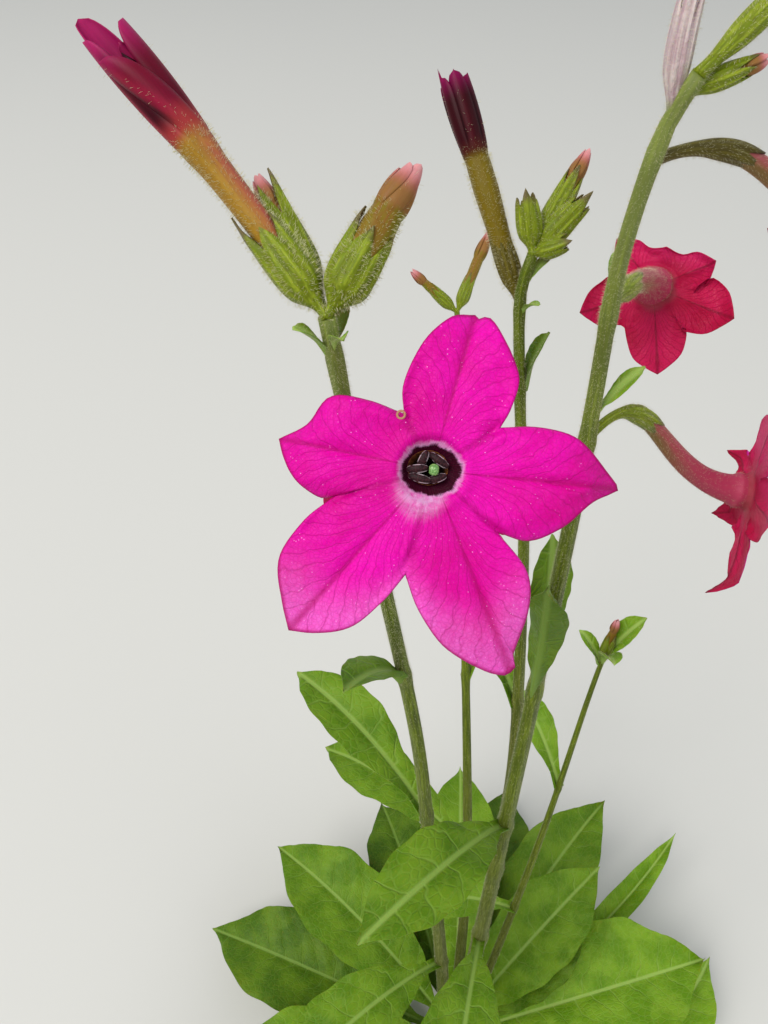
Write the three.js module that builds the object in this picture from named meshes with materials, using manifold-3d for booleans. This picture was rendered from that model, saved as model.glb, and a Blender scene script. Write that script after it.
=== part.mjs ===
// Flowering tobacco: a rooted clump with a leaf rosette, five stems, open trumpet flowers and buds.
// Units are millimetres and +Z is up. The origin is the middle of the flat cut under the root crown,
// +Y points to the back of the clump and +X to its right.

import * as THREE from "three";
import { mergeVertices } from "three/addons/utils/BufferGeometryUtils.js";
import Module from "manifold-3d";

const wasm = await Module();
wasm.setup();

// Driving dimensions
const SEAT_GAP = 0.3; // clearance between a piece and what carries it
const LEAF_THICKNESS = 1.5;
const PETIOLE_WIDTH = 7;
const PETIOLE_SHARE = 0.16; // of a leaf's length, before its blade widens
const PETAL_THICKNESS = 1.2;
const CROWN_HEIGHT = 32;
const CROWN_RADIUS = 11;
const CROWN_FLARE = 19; // radius of the flat cut at ground level
const CALYX_LENGTH = 20;
const CALYX_RADIUS = 3.7;
const CALYX_WALL = 0.9;
const CALYX_TOOTH = 5; // length of each of the five teeth
const CUP_FLOOR = 0.3; // where the calyx cup's floor lies in its length
const PEDICEL_RADIUS = 1.2;
const PEDICEL_SHARE = 0.16; // of the way from the stem to the flower's mouth
const TUBE_RADIUS = 2.1; // corolla tube where it leaves the calyx
const THROAT_RADIUS = 4.4;
const THROAT_DEPTH = 5;
const LIMB_DROOP = 0.0022; // how the limb falls back with the square of its radius
const LIMB_RADIUS = 28; // of an even open flower, to the lobe tips
const NOTCH_RADIUS = 14; // to the bays between the lobes
const RIM = 40; // the limb's even rim before it takes its lobes
const CLUSTER_KNOT = 3; // radius of the knot under the middle stem's small buds

const STEM_SIDES = 8;
const STEM_RING_SPACING = 48;
const CROWN_SIDES = 12;
const CALYX_SIDES = 10;
const BUD_SIDES = 8;
const SMALL_BUD_SIDES = 6;
const FLOWER_SIDES = 20;
const ROSETTE_SEGMENTS = 7;
const STEM_LEAF_SEGMENTS = 5;
const LOBES = 5;
const PATH_STEPS = 48;

const UP = new THREE.Vector3(0, 0, 1);
const v3 = (x, y, z) => new THREE.Vector3(x, y, z);
const radians = THREE.MathUtils.degToRad;
const lerp = THREE.MathUtils.lerp;

// A unit vector from a compass azimuth (0 along +X, 90 along +Y) and an elevation, in degrees.
function heading(azimuth, elevation) {
  const flat = Math.cos(radians(elevation));
  return v3(
    flat * Math.cos(radians(azimuth)),
    flat * Math.sin(radians(azimuth)),
    Math.sin(radians(elevation)),
  );
}

// A centre line with a frame that turns as little as possible, fixed by its normal at the far end.
class Path {
  constructor(points, endNormal) {
    this.points = points;
    this.tangents = points.map((p, i) => {
      const before = points[Math.max(i - 1, 0)];
      const after = points[Math.min(i + 1, points.length - 1)];
      return after.clone().sub(before).normalize();
    });
    this.along = [0];
    for (let i = 1; i < points.length; i++) {
      this.along.push(this.along[i - 1] + points[i].distanceTo(points[i - 1]));
    }
    this.length = this.along.at(-1);
    this.normals = new Array(points.length);
    let normal = endNormal.clone();
    for (let i = points.length - 1; i >= 0; i--) {
      normal.addScaledVector(this.tangents[i], -normal.dot(this.tangents[i]));
      normal.normalize();
      this.normals[i] = normal.clone();
    }
  }

  // The point and frame at a distance along the line, which runs on straight past both ends.
  at(distance) {
    const last = this.points.length - 1;
    let i = this.along.findIndex((a) => a > distance) - 1;
    if (distance >= this.length) i = last - 1;
    if (distance <= 0) i = 0;
    const share = (distance - this.along[i]) / (this.along[i + 1] - this.along[i]);
    const inside = THREE.MathUtils.clamp(share, 0, 1);
    const point = this.points[i].clone().lerp(this.points[i + 1], share);
    const tangent = this.tangents[i].clone().lerp(this.tangents[i + 1], inside).normalize();
    const normal = this.normals[i].clone().lerp(this.normals[i + 1], inside).normalize();
    const side = tangent.clone().cross(normal);
    return { point, tangent, normal, side };
  }
}

// Bends a geometry that stands on its z axis so that z becomes the distance along the path.
function bendAlong(geometry, path) {
  const at = geometry.attributes.position;
  for (let i = 0; i < at.count; i++) {
    const { point, normal, side } = path.at(at.getZ(i));
    point.addScaledVector(normal, at.getX(i)).addScaledVector(side, at.getY(i));
    at.setXYZ(i, point.x, point.y, point.z);
  }
  return geometry;
}

function solidOf(geometry) {
  const bare = new THREE.BufferGeometry();
  bare.setAttribute("position", geometry.attributes.position);
  bare.setIndex(geometry.index);
  const merged = mergeVertices(bare, 1e-3);
  return new wasm.Manifold(
    new wasm.Mesh({
      numProp: 3,
      vertProperties: new Float32Array(merged.attributes.position.array),
      triVerts: new Uint32Array(merged.index.array),
    }),
  );
}

function geometryOf(solid) {
  const mesh = solid.getMesh();
  const geometry = new THREE.BufferGeometry();
  geometry.setAttribute("position", new THREE.BufferAttribute(mesh.vertProperties, 3));
  geometry.setIndex(new THREE.BufferAttribute(mesh.triVerts, 1));
  geometry.computeVertexNormals();
  return geometry;
}

// A solid of revolution about z, from its outline as [radius, height] pairs.
function turned(outline, sides) {
  const profile = outline.map(([radius, height]) => new THREE.Vector2(radius, height));
  return new THREE.LatheGeometry(profile, sides).rotateX(Math.PI / 2);
}

// Stems

// Each route lists the stem's own bends from its foot to its tip.
const STEMS = {
  stem_right: {
    foot: 5.6,
    tip: 1.5,
    route: [
      v3(0, 0, 24), v3(2, 4, 200), v3(0, 8, 420), v3(-3, 9, 590), v3(-4.5, 10, 638),
      v3(-5.6, 11, 672), v3(-3.8, 9.5, 698), v3(-1, 6, 710),
    ],
  },
  stem_left: {
    foot: 4.6,
    tip: 1.7,
    route: [
      v3(-7, 1, 22), v3(-17, 7, 180), v3(-32, 10, 360), v3(-42, 10, 474),
      v3(-59, -2, 610), v3(-66, -9, 672),
    ],
  },
  stem_middle: {
    foot: 2.9,
    tip: 1.4,
    route: [
      v3(0, 7, 350), v3(2, 22, 430), v3(-6, 38, 545), v3(-15, 43, 613),
      v3(-19.5, 41, 647), v3(-17.5, 43, 659),
    ],
  },
  stem_back: {
    foot: 4.2,
    tip: 1.4,
    route: [v3(1, 8, 22), v3(2, 62, 200), v3(-6, 140, 370), v3(-12, 200, 480), v3(-16, 226, 535)],
  },
  stem_shoot: {
    foot: 3.2,
    tip: 1.3,
    route: [v3(8, 3, 22), v3(26, 28, 140), v3(44, 58, 270), v3(57, 86, 375), v3(62, 95, 412)],
  },
};

function stemPath(name) {
  const curve = new THREE.CatmullRomCurve3(STEMS[name].route, false, "catmullrom", 0.5);
  return new Path(curve.getPoints(PATH_STEPS), v3(1, 0, 0));
}

const stemPaths = Object.fromEntries(Object.keys(STEMS).map((name) => [name, stemPath(name)]));

// The point on a stem's centre line at a height above the ground.
function stemPoint(name, height) {
  const { points } = stemPaths[name];
  const i = Math.min(Math.max(points.findIndex((p) => p.z > height), 1), points.length - 1);
  const [low, high] = [points[i - 1], points[i]];
  return low.clone().lerp(high, (height - low.z) / (high.z - low.z));
}

function stemSolid(name, grow) {
  const { foot, tip } = STEMS[name];
  const path = stemPaths[name];
  const segments = Math.ceil(path.length / STEM_RING_SPACING);
  const geometry = new THREE.CylinderGeometry(1, 1, 1, STEM_SIDES, segments).rotateX(Math.PI / 2);
  const at = geometry.attributes.position;
  for (let i = 0; i < at.count; i++) {
    const share = 1 - (0.5 - at.getZ(i)) ** 1.5; // rings close up towards the bending tip
    const radius = lerp(foot, tip, share) + grow;
    const reach = path.length + 2 * grow;
    at.setXYZ(i, at.getX(i) * radius, at.getY(i) * radius, share * reach - grow);
  }
  return solidOf(bendAlong(geometry, path));
}

// The short woody crown, flared where it meets the ground and domed on top.
function crownSolid(grow) {
  const [h, r] = [CROWN_HEIGHT, CROWN_RADIUS];
  const outline = [
    [0, -grow],
    [CROWN_FLARE + grow, -grow],
    [0.8 * CROWN_FLARE + grow, 0.12 * h],
    [r + grow, 0.35 * h],
    [r + grow, 0.75 * h],
    [0.7 * r + grow, h + grow],
    [0, h + grow],
  ];
  return solidOf(turned(outline, CROWN_SIDES));
}

// Leaves

// A leaf's midrib leaves its foot at the angle rise and reaches its tip at the angle fall, both
// above the horizon; sweep turns its azimuth on the way, and fold lifts its two halves.
const leaf = (on, height, azimuth, length, width, rise, fall, sweep = 0, fold = 14) => ({
  on, height, azimuth, length, width, rise, fall, sweep, fold,
});

const LEAVES = {
  leaf_rosette_01: leaf("crown", 14, 6, 216, 92, 42, -8, 10, 14),
  leaf_rosette_02: leaf("crown", 21, 32, 154, 60, 58, 4, 4),
  leaf_rosette_03: leaf("crown", 27, 37, 186, 60, 66, 4, 2),
  leaf_rosette_04: leaf("crown", 14, 54, 232, 64, 46, -4, -10),
  leaf_rosette_05: leaf("crown", 7, -28, 246, 66, 18, -6, 82, 8),
  leaf_rosette_06: leaf("crown", 8, 22, 262, 27, 16, 4, 26, 34),
  leaf_rosette_07: leaf("crown", 23, 86, 214, 66, 56, -8, 0),
  leaf_rosette_08: leaf("crown", 15, 106, 198, 66, 42, -20, 4),
  leaf_rosette_09: leaf("crown", 7, 70, 215, 68, 24, -14, 4),
  leaf_rosette_10: leaf("crown", 22, 138, 212, 70, 52, -14, 4),
  leaf_rosette_11: leaf("crown", 9, 162, 222, 76, 28, -16, -4),
  leaf_rosette_12: leaf("crown", 18, 192, 205, 72, 46, -20, 6),
  leaf_rosette_13: leaf("crown", 8, 222, 212, 72, 26, -16, 4),
  leaf_rosette_14: leaf("crown", 20, 246, 192, 66, 50, -18, -4),
  leaf_rosette_15: leaf("crown", 8, 272, 208, 70, 28, -18, 4),
  leaf_rosette_16: leaf("crown", 17, 298, 186, 64, 50, -14, 2),
  leaf_left_1: leaf("stem_left", 190, 214, 138, 46, 48, -28, 6),
  leaf_left_2: leaf("stem_left", 404, 136, 92, 28, 50, -6, 4),
  leaf_left_3: leaf("stem_left", 525, 235, 54, 15, 66, 30, 8),
  leaf_right_1: leaf("stem_right", 250, 252, 142, 48, 50, -24, 6),
  leaf_right_2: leaf("stem_right", 400, 226, 102, 32, 56, -10, -6),
  leaf_right_3: leaf("stem_right", 511, 238, 76, 13, 82, 76, 0),
  leaf_right_4: leaf("stem_right", 534, 95, 46, 14, 80, 66, 0),
  leaf_middle_1: leaf("stem_middle", 470, 120, 74, 24, 52, 0, 6),
  leaf_middle_2: leaf("stem_middle", 617, 5, 20, 7, 84, 64, 0),
  leaf_back_1: leaf("stem_back", 215, 142, 128, 42, 42, -26, 8),
  leaf_back_2: leaf("stem_back", 340, 60, 88, 28, 44, -16, 6),
  leaf_shoot_1: leaf("stem_shoot", 190, 182, 96, 32, 48, -16, -6),
  leaf_shoot_2: leaf("stem_shoot", 310, 110, 66, 20, 50, -4, 6),
};

// Half the blade's width at a share of its length, from petiole to tip.
function halfWidth(share, width) {
  const petiole = Math.min(PETIOLE_WIDTH, 0.32 * width) / 2;
  const blade = Math.max(0, (share - PETIOLE_SHARE) / (1 - PETIOLE_SHARE));
  const swell = Math.sin(Math.PI * blade ** 1.25) ** 0.8;
  const narrowing = share > 0.9 ? (1 - share) / 0.1 : 1;
  return Math.max(0.6, petiole * narrowing + (width / 2 - petiole) * swell);
}

// The midrib's points from its foot to its tip.
function midrib({ length, azimuth, rise, fall, sweep }, foot) {
  const points = [foot.clone()];
  for (let i = 0; i < PATH_STEPS; i++) {
    const share = (i + 0.5) / PATH_STEPS;
    const step = heading(azimuth + sweep * share, lerp(rise, fall, share));
    points.push(points[i].clone().addScaledVector(step, length / PATH_STEPS));
  }
  return points;
}

function leafSolid(spec, grow) {
  const foot = spec.on === "crown" ? v3(0, 0, spec.height) : stemPoint(spec.on, spec.height);
  const points = midrib(spec, foot);
  const segments = spec.segments ?? (spec.on === "crown" ? ROSETTE_SEGMENTS : STEM_LEAF_SEGMENTS);
  const geometry = new THREE.BoxGeometry(1, 1, 1, segments, 2, 1);
  const at = geometry.attributes.position;
  for (let i = 0; i < at.count; i++) {
    const share = at.getX(i) + 0.5;
    const across = 2 * at.getY(i); // -1 at one margin, 0 on the midrib, 1 at the other
    const azimuth = radians(spec.azimuth + spec.sweep * share);
    const elevation = radians(lerp(spec.rise, spec.fall, share));
    const sideways = v3(-Math.sin(azimuth), Math.cos(azimuth), 0);
    const upwards = v3(
      -Math.sin(elevation) * Math.cos(azimuth),
      -Math.sin(elevation) * Math.sin(azimuth),
      Math.cos(elevation),
    );
    const reach = (halfWidth(share, spec.width) + grow) * across;
    const lift = Math.abs(reach) * Math.sin(radians(spec.fold));
    const thick = at.getZ(i) * (LEAF_THICKNESS + 2 * grow);
    const step = share * PATH_STEPS;
    const low = Math.min(Math.floor(step), PATH_STEPS - 1);
    const point = points[low].clone().lerp(points[low + 1], step - low);
    point.addScaledVector(sideways, reach * Math.cos(radians(spec.fold)));
    point.addScaledVector(upwards, lift + thick);
    at.setXYZ(i, point.x, point.y, point.z);
  }
  return solidOf(geometry);
}

// Flowers

// Angles of the five lobe tips and their lengths, then the bays between them, seen from the front
// with 0 at the top and turning anticlockwise.
const EVEN_LOBES = {
  angles: [0, 72, 144, 216, 288],
  tips: [LIMB_RADIUS, LIMB_RADIUS, LIMB_RADIUS, LIMB_RADIUS, LIMB_RADIUS],
  bays: [NOTCH_RADIUS, NOTCH_RADIUS, NOTCH_RADIUS, NOTCH_RADIUS, NOTCH_RADIUS],
};
const FRONT_LOBES = {
  angles: [-13, 77, 137, 199, 264],
  tips: [28, 27, 37, 37, 32.5],
  bays: [11.5, 16.5, 16.5, 15, 14],
};
const BACK_LOBES = {
  angles: [28, 72, 131, 209, 280],
  tips: [18, 25, 26, 22, 17.5],
  bays: [12.5, 15, 14, 13, 11.5],
};
const SIDE_LOBES = {
  angles: [0, 66, 137, 205, 275],
  tips: [29, 29, 33, 21, 17],
  bays: [14, 14, 14, 12, 11.5],
};

// Each flower grows from its stem along leave, its limb looks along face from the point centre and
// is turned by spin degrees.
const flower = (stem, height, leave, centre, face, lobes = EVEN_LOBES, spin = 0) => ({
  stem, height, leave, centre, face, lobes, spin,
});

const FLOWERS = {
  front: flower("stem_left", 598, heading(-75, 50), v3(-47, -43, 663), v3(-8, -97, 87), FRONT_LOBES, 3.5),
  right_high: flower(
    "stem_right", 694, heading(37, 4), v3(64, 42, 659), v3(80, 26, -50), BACK_LOBES, 184,
  ),
  right_back: flower(
    "stem_right", 662, heading(64, -12), v3(25.5, 70, 635), v3(40, 72, -54), BACK_LOBES, 26,
  ),
  right_low: flower(
    "stem_right", 626, heading(38, 36), v3(57, 31, 588), v3(96, -20, 10), SIDE_LOBES,
  ),
  back_left: flower("stem_back", 445, heading(190, 50), v3(-80, 208, 418), v3(-80, 30, -38)),
  back_right: flower("stem_back", 410, heading(60, 45), v3(12, 228, 372), v3(30, 80, -42)),
};

function flowerPath({ stem, height, leave, centre, face }) {
  const foot = stemPoint(stem, height);
  const facing = face.clone().normalize();
  const reach = foot.distanceTo(centre) / 2.6;
  const curve = new THREE.CubicBezierCurve3(
    foot,
    foot.clone().addScaledVector(leave, reach),
    centre.clone().addScaledVector(facing, -reach),
    centre,
  );
  return new Path(curve.getPoints(PATH_STEPS), UP);
}

const pedicelLength = (path) => PEDICEL_SHARE * path.length;

// The pedicel and the toothed calyx cup that holds the corolla's foot, as one piece.
function calyxSolid(spec, grow) {
  const path = flowerPath(spec);
  const start = pedicelLength(path);
  const inner = CALYX_RADIUS - CALYX_WALL;
  const outline = [
    [0, -grow],
    [PEDICEL_RADIUS + grow, -grow],
    [PEDICEL_RADIUS + grow, start],
    [CALYX_RADIUS + grow, start + 0.35 * CALYX_LENGTH],
    [CALYX_RADIUS + grow, start + CALYX_LENGTH],
    [inner, start + CALYX_LENGTH],
    [inner - 0.3, start + CUP_FLOOR * CALYX_LENGTH],
    [0, start + CUP_FLOOR * CALYX_LENGTH],
  ];
  const geometry = turned(outline, CALYX_SIDES);
  const at = geometry.attributes.position;
  for (let i = 0; i < at.count; i++) {
    if (at.getZ(i) < start + 0.9 * CALYX_LENGTH) continue;
    const tooth = 0.5 + 0.5 * Math.cos(LOBES * Math.atan2(at.getY(i), at.getX(i)));
    at.setZ(i, at.getZ(i) + (tooth - 0.6) * CALYX_TOOTH);
  }
  return solidOf(bendAlong(geometry, path));
}

// The angle and radius on the lobed outline for a vertex of the limb's even rim.
function lobed(angle, lobes) {
  const turn = ((angle / 360) % 1 + 1) % 1 * LOBES;
  const k = Math.floor(turn + 1e-6) % LOBES;
  const next = (k + 1) % LOBES;
  const between = turn - Math.floor(turn + 1e-6);
  const wrap = next === 0 ? 360 : 0;
  const at = lerp(lobes.angles[k], lobes.angles[next] + wrap, between);
  const fromTip = between < 0.5 ? 2 * between : 2 - 2 * between;
  const tip = between < 0.5 ? lobes.tips[k] : lobes.tips[next];
  return { at: radians(at), radius: lobes.bays[k] + (tip - lobes.bays[k]) * (1 - fromTip) ** 0.4 };
}

// The corolla: a tube from inside the calyx that widens to the throat, with the lobed limb on its end.
function corollaSolid(spec, grow) {
  const path = flowerPath(spec);
  const cup = pedicelLength(path);
  const foot = cup + CUP_FLOOR * CALYX_LENGTH + SEAT_GAP;
  const end = path.length;
  const back = end - PETAL_THICKNESS;
  const outline = [
    [0, foot],
    [TUBE_RADIUS + grow, foot],
    [1.15 * TUBE_RADIUS + grow, cup + CALYX_LENGTH],
    [0.8 * THROAT_RADIUS + grow, lerp(foot, end, 0.74)],
    [THROAT_RADIUS + 1, back - 1],
    [RIM, back],
    [RIM, end],
    [THROAT_RADIUS, end],
    [0.7 * THROAT_RADIUS, end - THROAT_DEPTH],
    [0, end - THROAT_DEPTH],
  ];
  const geometry = turned(outline, FLOWER_SIDES);
  const at = geometry.attributes.position;
  for (let i = 0; i < at.count; i++) {
    if (Math.hypot(at.getX(i), at.getY(i)) < 0.9 * RIM) continue;
    const angle = THREE.MathUtils.radToDeg(Math.atan2(at.getY(i), at.getX(i)));
    const moved = lobed(angle, spec.lobes);
    const x = moved.radius * Math.cos(moved.at);
    const y = moved.radius * Math.sin(moved.at);
    at.setXYZ(i, x, y, at.getZ(i) - LIMB_DROOP * moved.radius ** 2);
  }
  return solidOf(bendAlong(geometry.rotateZ(radians(spec.spin)), path));
}

// Buds

// A closed bud from its foot to its tip: pedicel, calyx, corolla tube and the furled head. The radii
// are those of the calyx, the tube, the neck, the head and the tip; the shares of the length say where
// the calyx ends and where the neck and the head lie; lift raises the middle of its curve.
const bud = (foot, tip, radii, shares, lift = v3(0, 0, 0)) => ({ foot, tip, radii, shares, lift });

const leftTip = stemPaths.stem_left.points.at(-1);
const middleTip = stemPaths.stem_middle.points.at(-1);
const rightTip = stemPaths.stem_right.points.at(-1);
const backTip = stemPaths.stem_back.points.at(-1);

const BUDS = {
  bud_opening: bud(
    leftTip, v3(-107.5, 25, 712),
    [4.6, 2.9, 3.9, 4.9, 3.2], [0.34, 0.68, 0.86], v3(0, 6, -1),
  ),
  bud_pink_left: bud(leftTip, v3(-81, 18, 688), [3.9, 3, 2.2, 1.6, 0.6], [0.76, 0.84, 0.93]),
  bud_pink_right: bud(leftTip, v3(-49, 9, 694), [4.6, 3.7, 3.5, 2.9, 1.2], [0.56, 0.7, 0.88]),
  bud_dark: bud(
    stemPoint("stem_middle", 646), v3(-38.5, 78, 692),
    [3.2, 2.5, 3.2, 4.3, 3.2], [0.34, 0.66, 0.84], v3(1, -2, -2),
  ),
  bud_high: bud(rightTip, v3(36, 31, 736), [2.6, 2.1, 2.4, 3.4, 1.2], [0.5, 0.68, 0.86]),
  bud_green_high: bud(
    stemPoint("stem_right", 707), v3(12, 11, 711),
    [2.2, 1.8, 1.2, 0.8, 0.4], [0.7, 0.84, 0.94],
  ),
  bud_back_left: bud(backTip, v3(-41, 232, 556), [3.2, 2.6, 2.2, 1.8, 0.6], [0.6, 0.74, 0.88]),
  bud_back_right: bud(backTip, v3(2, 258, 566), [3.6, 2.8, 3, 3.8, 1.2], [0.44, 0.66, 0.86]),
  withered_flower: bud(
    stemPoint("stem_right", 703), v3(10, 34, 757),
    [2.8, 2.1, 2, 3.2, 1.6], [0.34, 0.7, 0.9], v3(-12, -14, -11),
  ),
};

function budSolid({ foot, tip, radii, shares, lift }, grow, sides = BUD_SIDES) {
  const middle = foot.clone().lerp(tip, 0.5).add(lift);
  const path = new Path(new THREE.QuadraticBezierCurve3(foot, middle, tip).getPoints(PATH_STEPS), UP);
  const [calyx, tube, neck, head, point] = radii.map((radius) => radius + grow);
  const [calyxEnd, neckAt, headAt] = shares.map((share) => share * path.length);
  const outline = [
    [0, -grow],
    [PEDICEL_RADIUS + grow, -grow],
    [PEDICEL_RADIUS + grow, 0.1 * path.length],
    [calyx, 0.45 * calyxEnd],
    [tube, calyxEnd],
    [neck, neckAt],
    [head, headAt],
    [point, path.length + grow],
    [0, path.length + grow],
  ];
  return solidOf(bendAlong(turned(outline, sides), path));
}

// The tight group of small buds on the middle stem's tip, as one uneven mass round its knot.
const SMALL_BUDS = [
  bud(middleTip, v3(-3, 63, 677), [3.2, 2.8, 2.2, 1.6, 0.7], [0.7, 0.8, 0.9]),
  bud(middleTip, v3(-20, 50, 672), [3.3, 2.2, 1.2, 0.8, 0.4], [0.66, 0.8, 0.92], v3(-2, 0, 0)),
  bud(middleTip, v3(-4, 50, 671), [3, 2.2, 1.2, 0.8, 0.4], [0.66, 0.8, 0.92]),
  bud(middleTip, v3(-8.5, 42, 663), [2.5, 2, 1.1, 0.7, 0.3], [0.66, 0.8, 0.92]),
];

function budClusterSolid(grow) {
  const { x, y, z } = middleTip;
  const knot = solidOf(new THREE.IcosahedronGeometry(CLUSTER_KNOT + grow, 0).translate(x, y, z + 1.5));
  return SMALL_BUDS.reduce((joined, one) => joined.add(budSolid(one, grow, SMALL_BUD_SIDES)), knot);
}

// The young leaves crowded at the side shoot's tip, as one uneven mass.
const SHOOT_TIP_LEAVES = [
  leaf("stem_shoot", 406, 20, 34, 13, 72, 36, 0, 20),
  leaf("stem_shoot", 406, 260, 32, 12, 70, 34, 0, 20),
];

function shootTipSolid(grow) {
  const core = budSolid(
    bud(stemPoint("stem_shoot", 404), v3(65, 100, 432), [3.4, 2.8, 2, 1, 0.4], [0.6, 0.76, 0.9]),
    grow,
    SMALL_BUD_SIDES,
  );
  const leaves = SHOOT_TIP_LEAVES.map((one) => leafSolid({ ...one, segments: 3 }, grow));
  return leaves.reduce((joined, one) => joined.add(one), core);
}

// Assembly

// Every piece by name, with how to make it, grown by a clearance or not, and the pieces that it is cut
// back from: what carries it, and what was placed before it at the same knot.
const pieces = new Map();
const add = (name, make, cutFrom) => pieces.set(name, { make, cutFrom });

add("root_crown", crownSolid, []);
const stemsBefore = [];
for (const name of Object.keys(STEMS)) {
  add(name, (grow) => stemSolid(name, grow), ["root_crown", ...stemsBefore]);
  stemsBefore.push(name);
}
for (const [name, spec] of Object.entries(LEAVES)) {
  add(name, (grow) => leafSolid(spec, grow), ["root_crown", ...stemsBefore]);
}
for (const [name, spec] of Object.entries(FLOWERS)) {
  add(`calyx_${name}`, (grow) => calyxSolid(spec, grow), [spec.stem]);
  add(`corolla_${name}`, (grow) => corollaSolid(spec, grow), []);
}
const budsBefore = [];
for (const [name, spec] of Object.entries(BUDS)) {
  add(name, (grow) => budSolid(spec, grow), [...stemsBefore, ...budsBefore]);
  budsBefore.push(name);
}
add("bud_cluster", budClusterSolid, [...stemsBefore, ...budsBefore]);
add("shoot_tip", shootTipSolid, ["stem_shoot"]);

// Finishes
const FINISHES = {
  crown: { color: 0x8a7f58, roughness: 0.8 },
  stem: { color: 0x6f9a3c, roughness: 0.55 },
  leaf: { color: 0x4f8228, roughness: 0.6 },
  calyx: { color: 0x7f9a3a, roughness: 0.6 },
  petal: { color: 0xd61896, roughness: 0.5 },
  bud: { color: 0xa8324a, roughness: 0.55 },
  withered: { color: 0xd9c4c0, roughness: 0.7 },
};
const OWN_FINISH = {
  root_crown: "crown", withered_flower: "withered", bud_opening: "bud", bud_dark: "bud",
};
const FINISH_BY_START = {
  stem: "stem", leaf: "leaf", calyx: "calyx", corolla: "petal", bud: "calyx", shoot: "leaf",
};

const finishOf = (name) =>
  new THREE.MeshStandardMaterial(FINISHES[OWN_FINISH[name] ?? FINISH_BY_START[name.split("_")[0]]]);

// A piece cut back from its neighbours; only its largest body is kept.
function cutBack({ make, cutFrom }) {
  const whole = make(0);
  const cut = cutFrom.reduce((left, other) => left.subtract(pieces.get(other).make(SEAT_GAP)), whole);
  return cut.decompose().reduce((best, one) => (one.volume() > best.volume() ? one : best));
}

const plant = new THREE.Group();
for (const [name, piece] of pieces) {
  const mesh = new THREE.Mesh(geometryOf(cutBack(piece)), finishOf(name));
  mesh.name = name;
  plant.add(mesh);
}

export default plant;
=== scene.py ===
# %% [markdown]
# # A flowering tobacco plant
# The plant is a rooted clump: a short woody crown, a rosette of broad leaves, five slender stems and,
# high above the leaves, long trumpet flowers with magenta stars and sticky, hairy buds. Every stem, leaf,
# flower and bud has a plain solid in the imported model. This lesson lays a detailed skin over each one.

# %% Load the frame
import math
from collections import namedtuple

import bpy
import numpy as np
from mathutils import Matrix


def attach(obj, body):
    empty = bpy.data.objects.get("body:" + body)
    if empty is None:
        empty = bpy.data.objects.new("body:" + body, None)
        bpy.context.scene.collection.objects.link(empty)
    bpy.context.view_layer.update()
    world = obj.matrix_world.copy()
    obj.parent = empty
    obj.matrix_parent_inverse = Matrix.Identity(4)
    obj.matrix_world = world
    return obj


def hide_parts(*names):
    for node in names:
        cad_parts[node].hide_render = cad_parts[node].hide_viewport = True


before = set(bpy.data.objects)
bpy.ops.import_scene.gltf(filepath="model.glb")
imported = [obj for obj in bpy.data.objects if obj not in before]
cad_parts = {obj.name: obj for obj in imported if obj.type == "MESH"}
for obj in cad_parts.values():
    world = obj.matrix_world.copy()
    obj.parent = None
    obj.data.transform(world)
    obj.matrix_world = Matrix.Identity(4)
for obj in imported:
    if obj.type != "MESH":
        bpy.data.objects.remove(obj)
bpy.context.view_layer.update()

MM = 0.001  # the plant is worked out in millimetres, and the scene is in metres

# %% [markdown]
# ## The camera
# The picture looks down at the plant at 45 degrees, from just above the open flower, with a phone's wide
# lens. A close camera like that makes the flower large and the leaves on the ground small, so its
# place has to be right before any shape is judged. Its frame is 768 by 1024, so the sensor's long
# side is the upright one.

# %% Place the camera
VIEW_POINT = np.array([-55.0, -140.0, 750.0])
VIEW_TILT = 45.0  # degrees up from straight down
LENS = 27.04
SENSOR = 36.0

camera_data = bpy.data.cameras.new("viewpoint")
camera_data.lens = LENS
camera_data.sensor_width = SENSOR
camera_data.clip_start = 0.01
camera = bpy.data.objects.new("viewpoint", camera_data)
camera.location = VIEW_POINT * MM
camera.rotation_euler = (math.radians(VIEW_TILT), 0.0, 0.0)
bpy.context.scene.collection.objects.link(camera)
bpy.context.scene.camera = camera
print("camera at", [round(v, 3) for v in camera.location])

# %% [markdown]
# ## Points, headings and paths
# Everything on this plant follows a curved centre line: a stem, a flower's tube, a leaf's midrib.
# One small class holds such a line with a frame that turns as little as possible. Shapes are then
# made straight, standing on their z axis, and bent along it. Curve objects with a bevel could do the
# stems, but not the lobed flowers or the leaves, so all of them share this one tool.

# %% Make paths
UP = np.array([0.0, 0.0, 1.0])
PATH_STEPS = 48


def unit(vectors):
    vectors = np.asarray(vectors, float)
    return vectors / np.linalg.norm(vectors, axis=-1, keepdims=True)


def heading(azimuth, elevation):
    """Unit vectors from azimuths (0 along +X, 90 along +Y) and elevations, in degrees."""
    turn, climb = np.broadcast_arrays(np.radians(azimuth), np.radians(elevation))
    flat = np.cos(climb)
    return np.stack([flat * np.cos(turn), flat * np.sin(turn), np.sin(climb)], axis=-1)


def round_angles(count):
    """Even angles round a circle, as one row."""
    return np.arange(count)[None, :] * 2 * np.pi / count


def around(radius, angle, height):
    """Points round the z axis."""
    return np.stack(np.broadcast_arrays(radius * np.cos(angle), radius * np.sin(angle), height), axis=-1)


def places_on(points, known, wanted):
    """Points on a line of points: known says where each one lies, and wanted where to look."""
    return np.stack([np.interp(wanted, known, column) for column in points.T], axis=-1)


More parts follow.
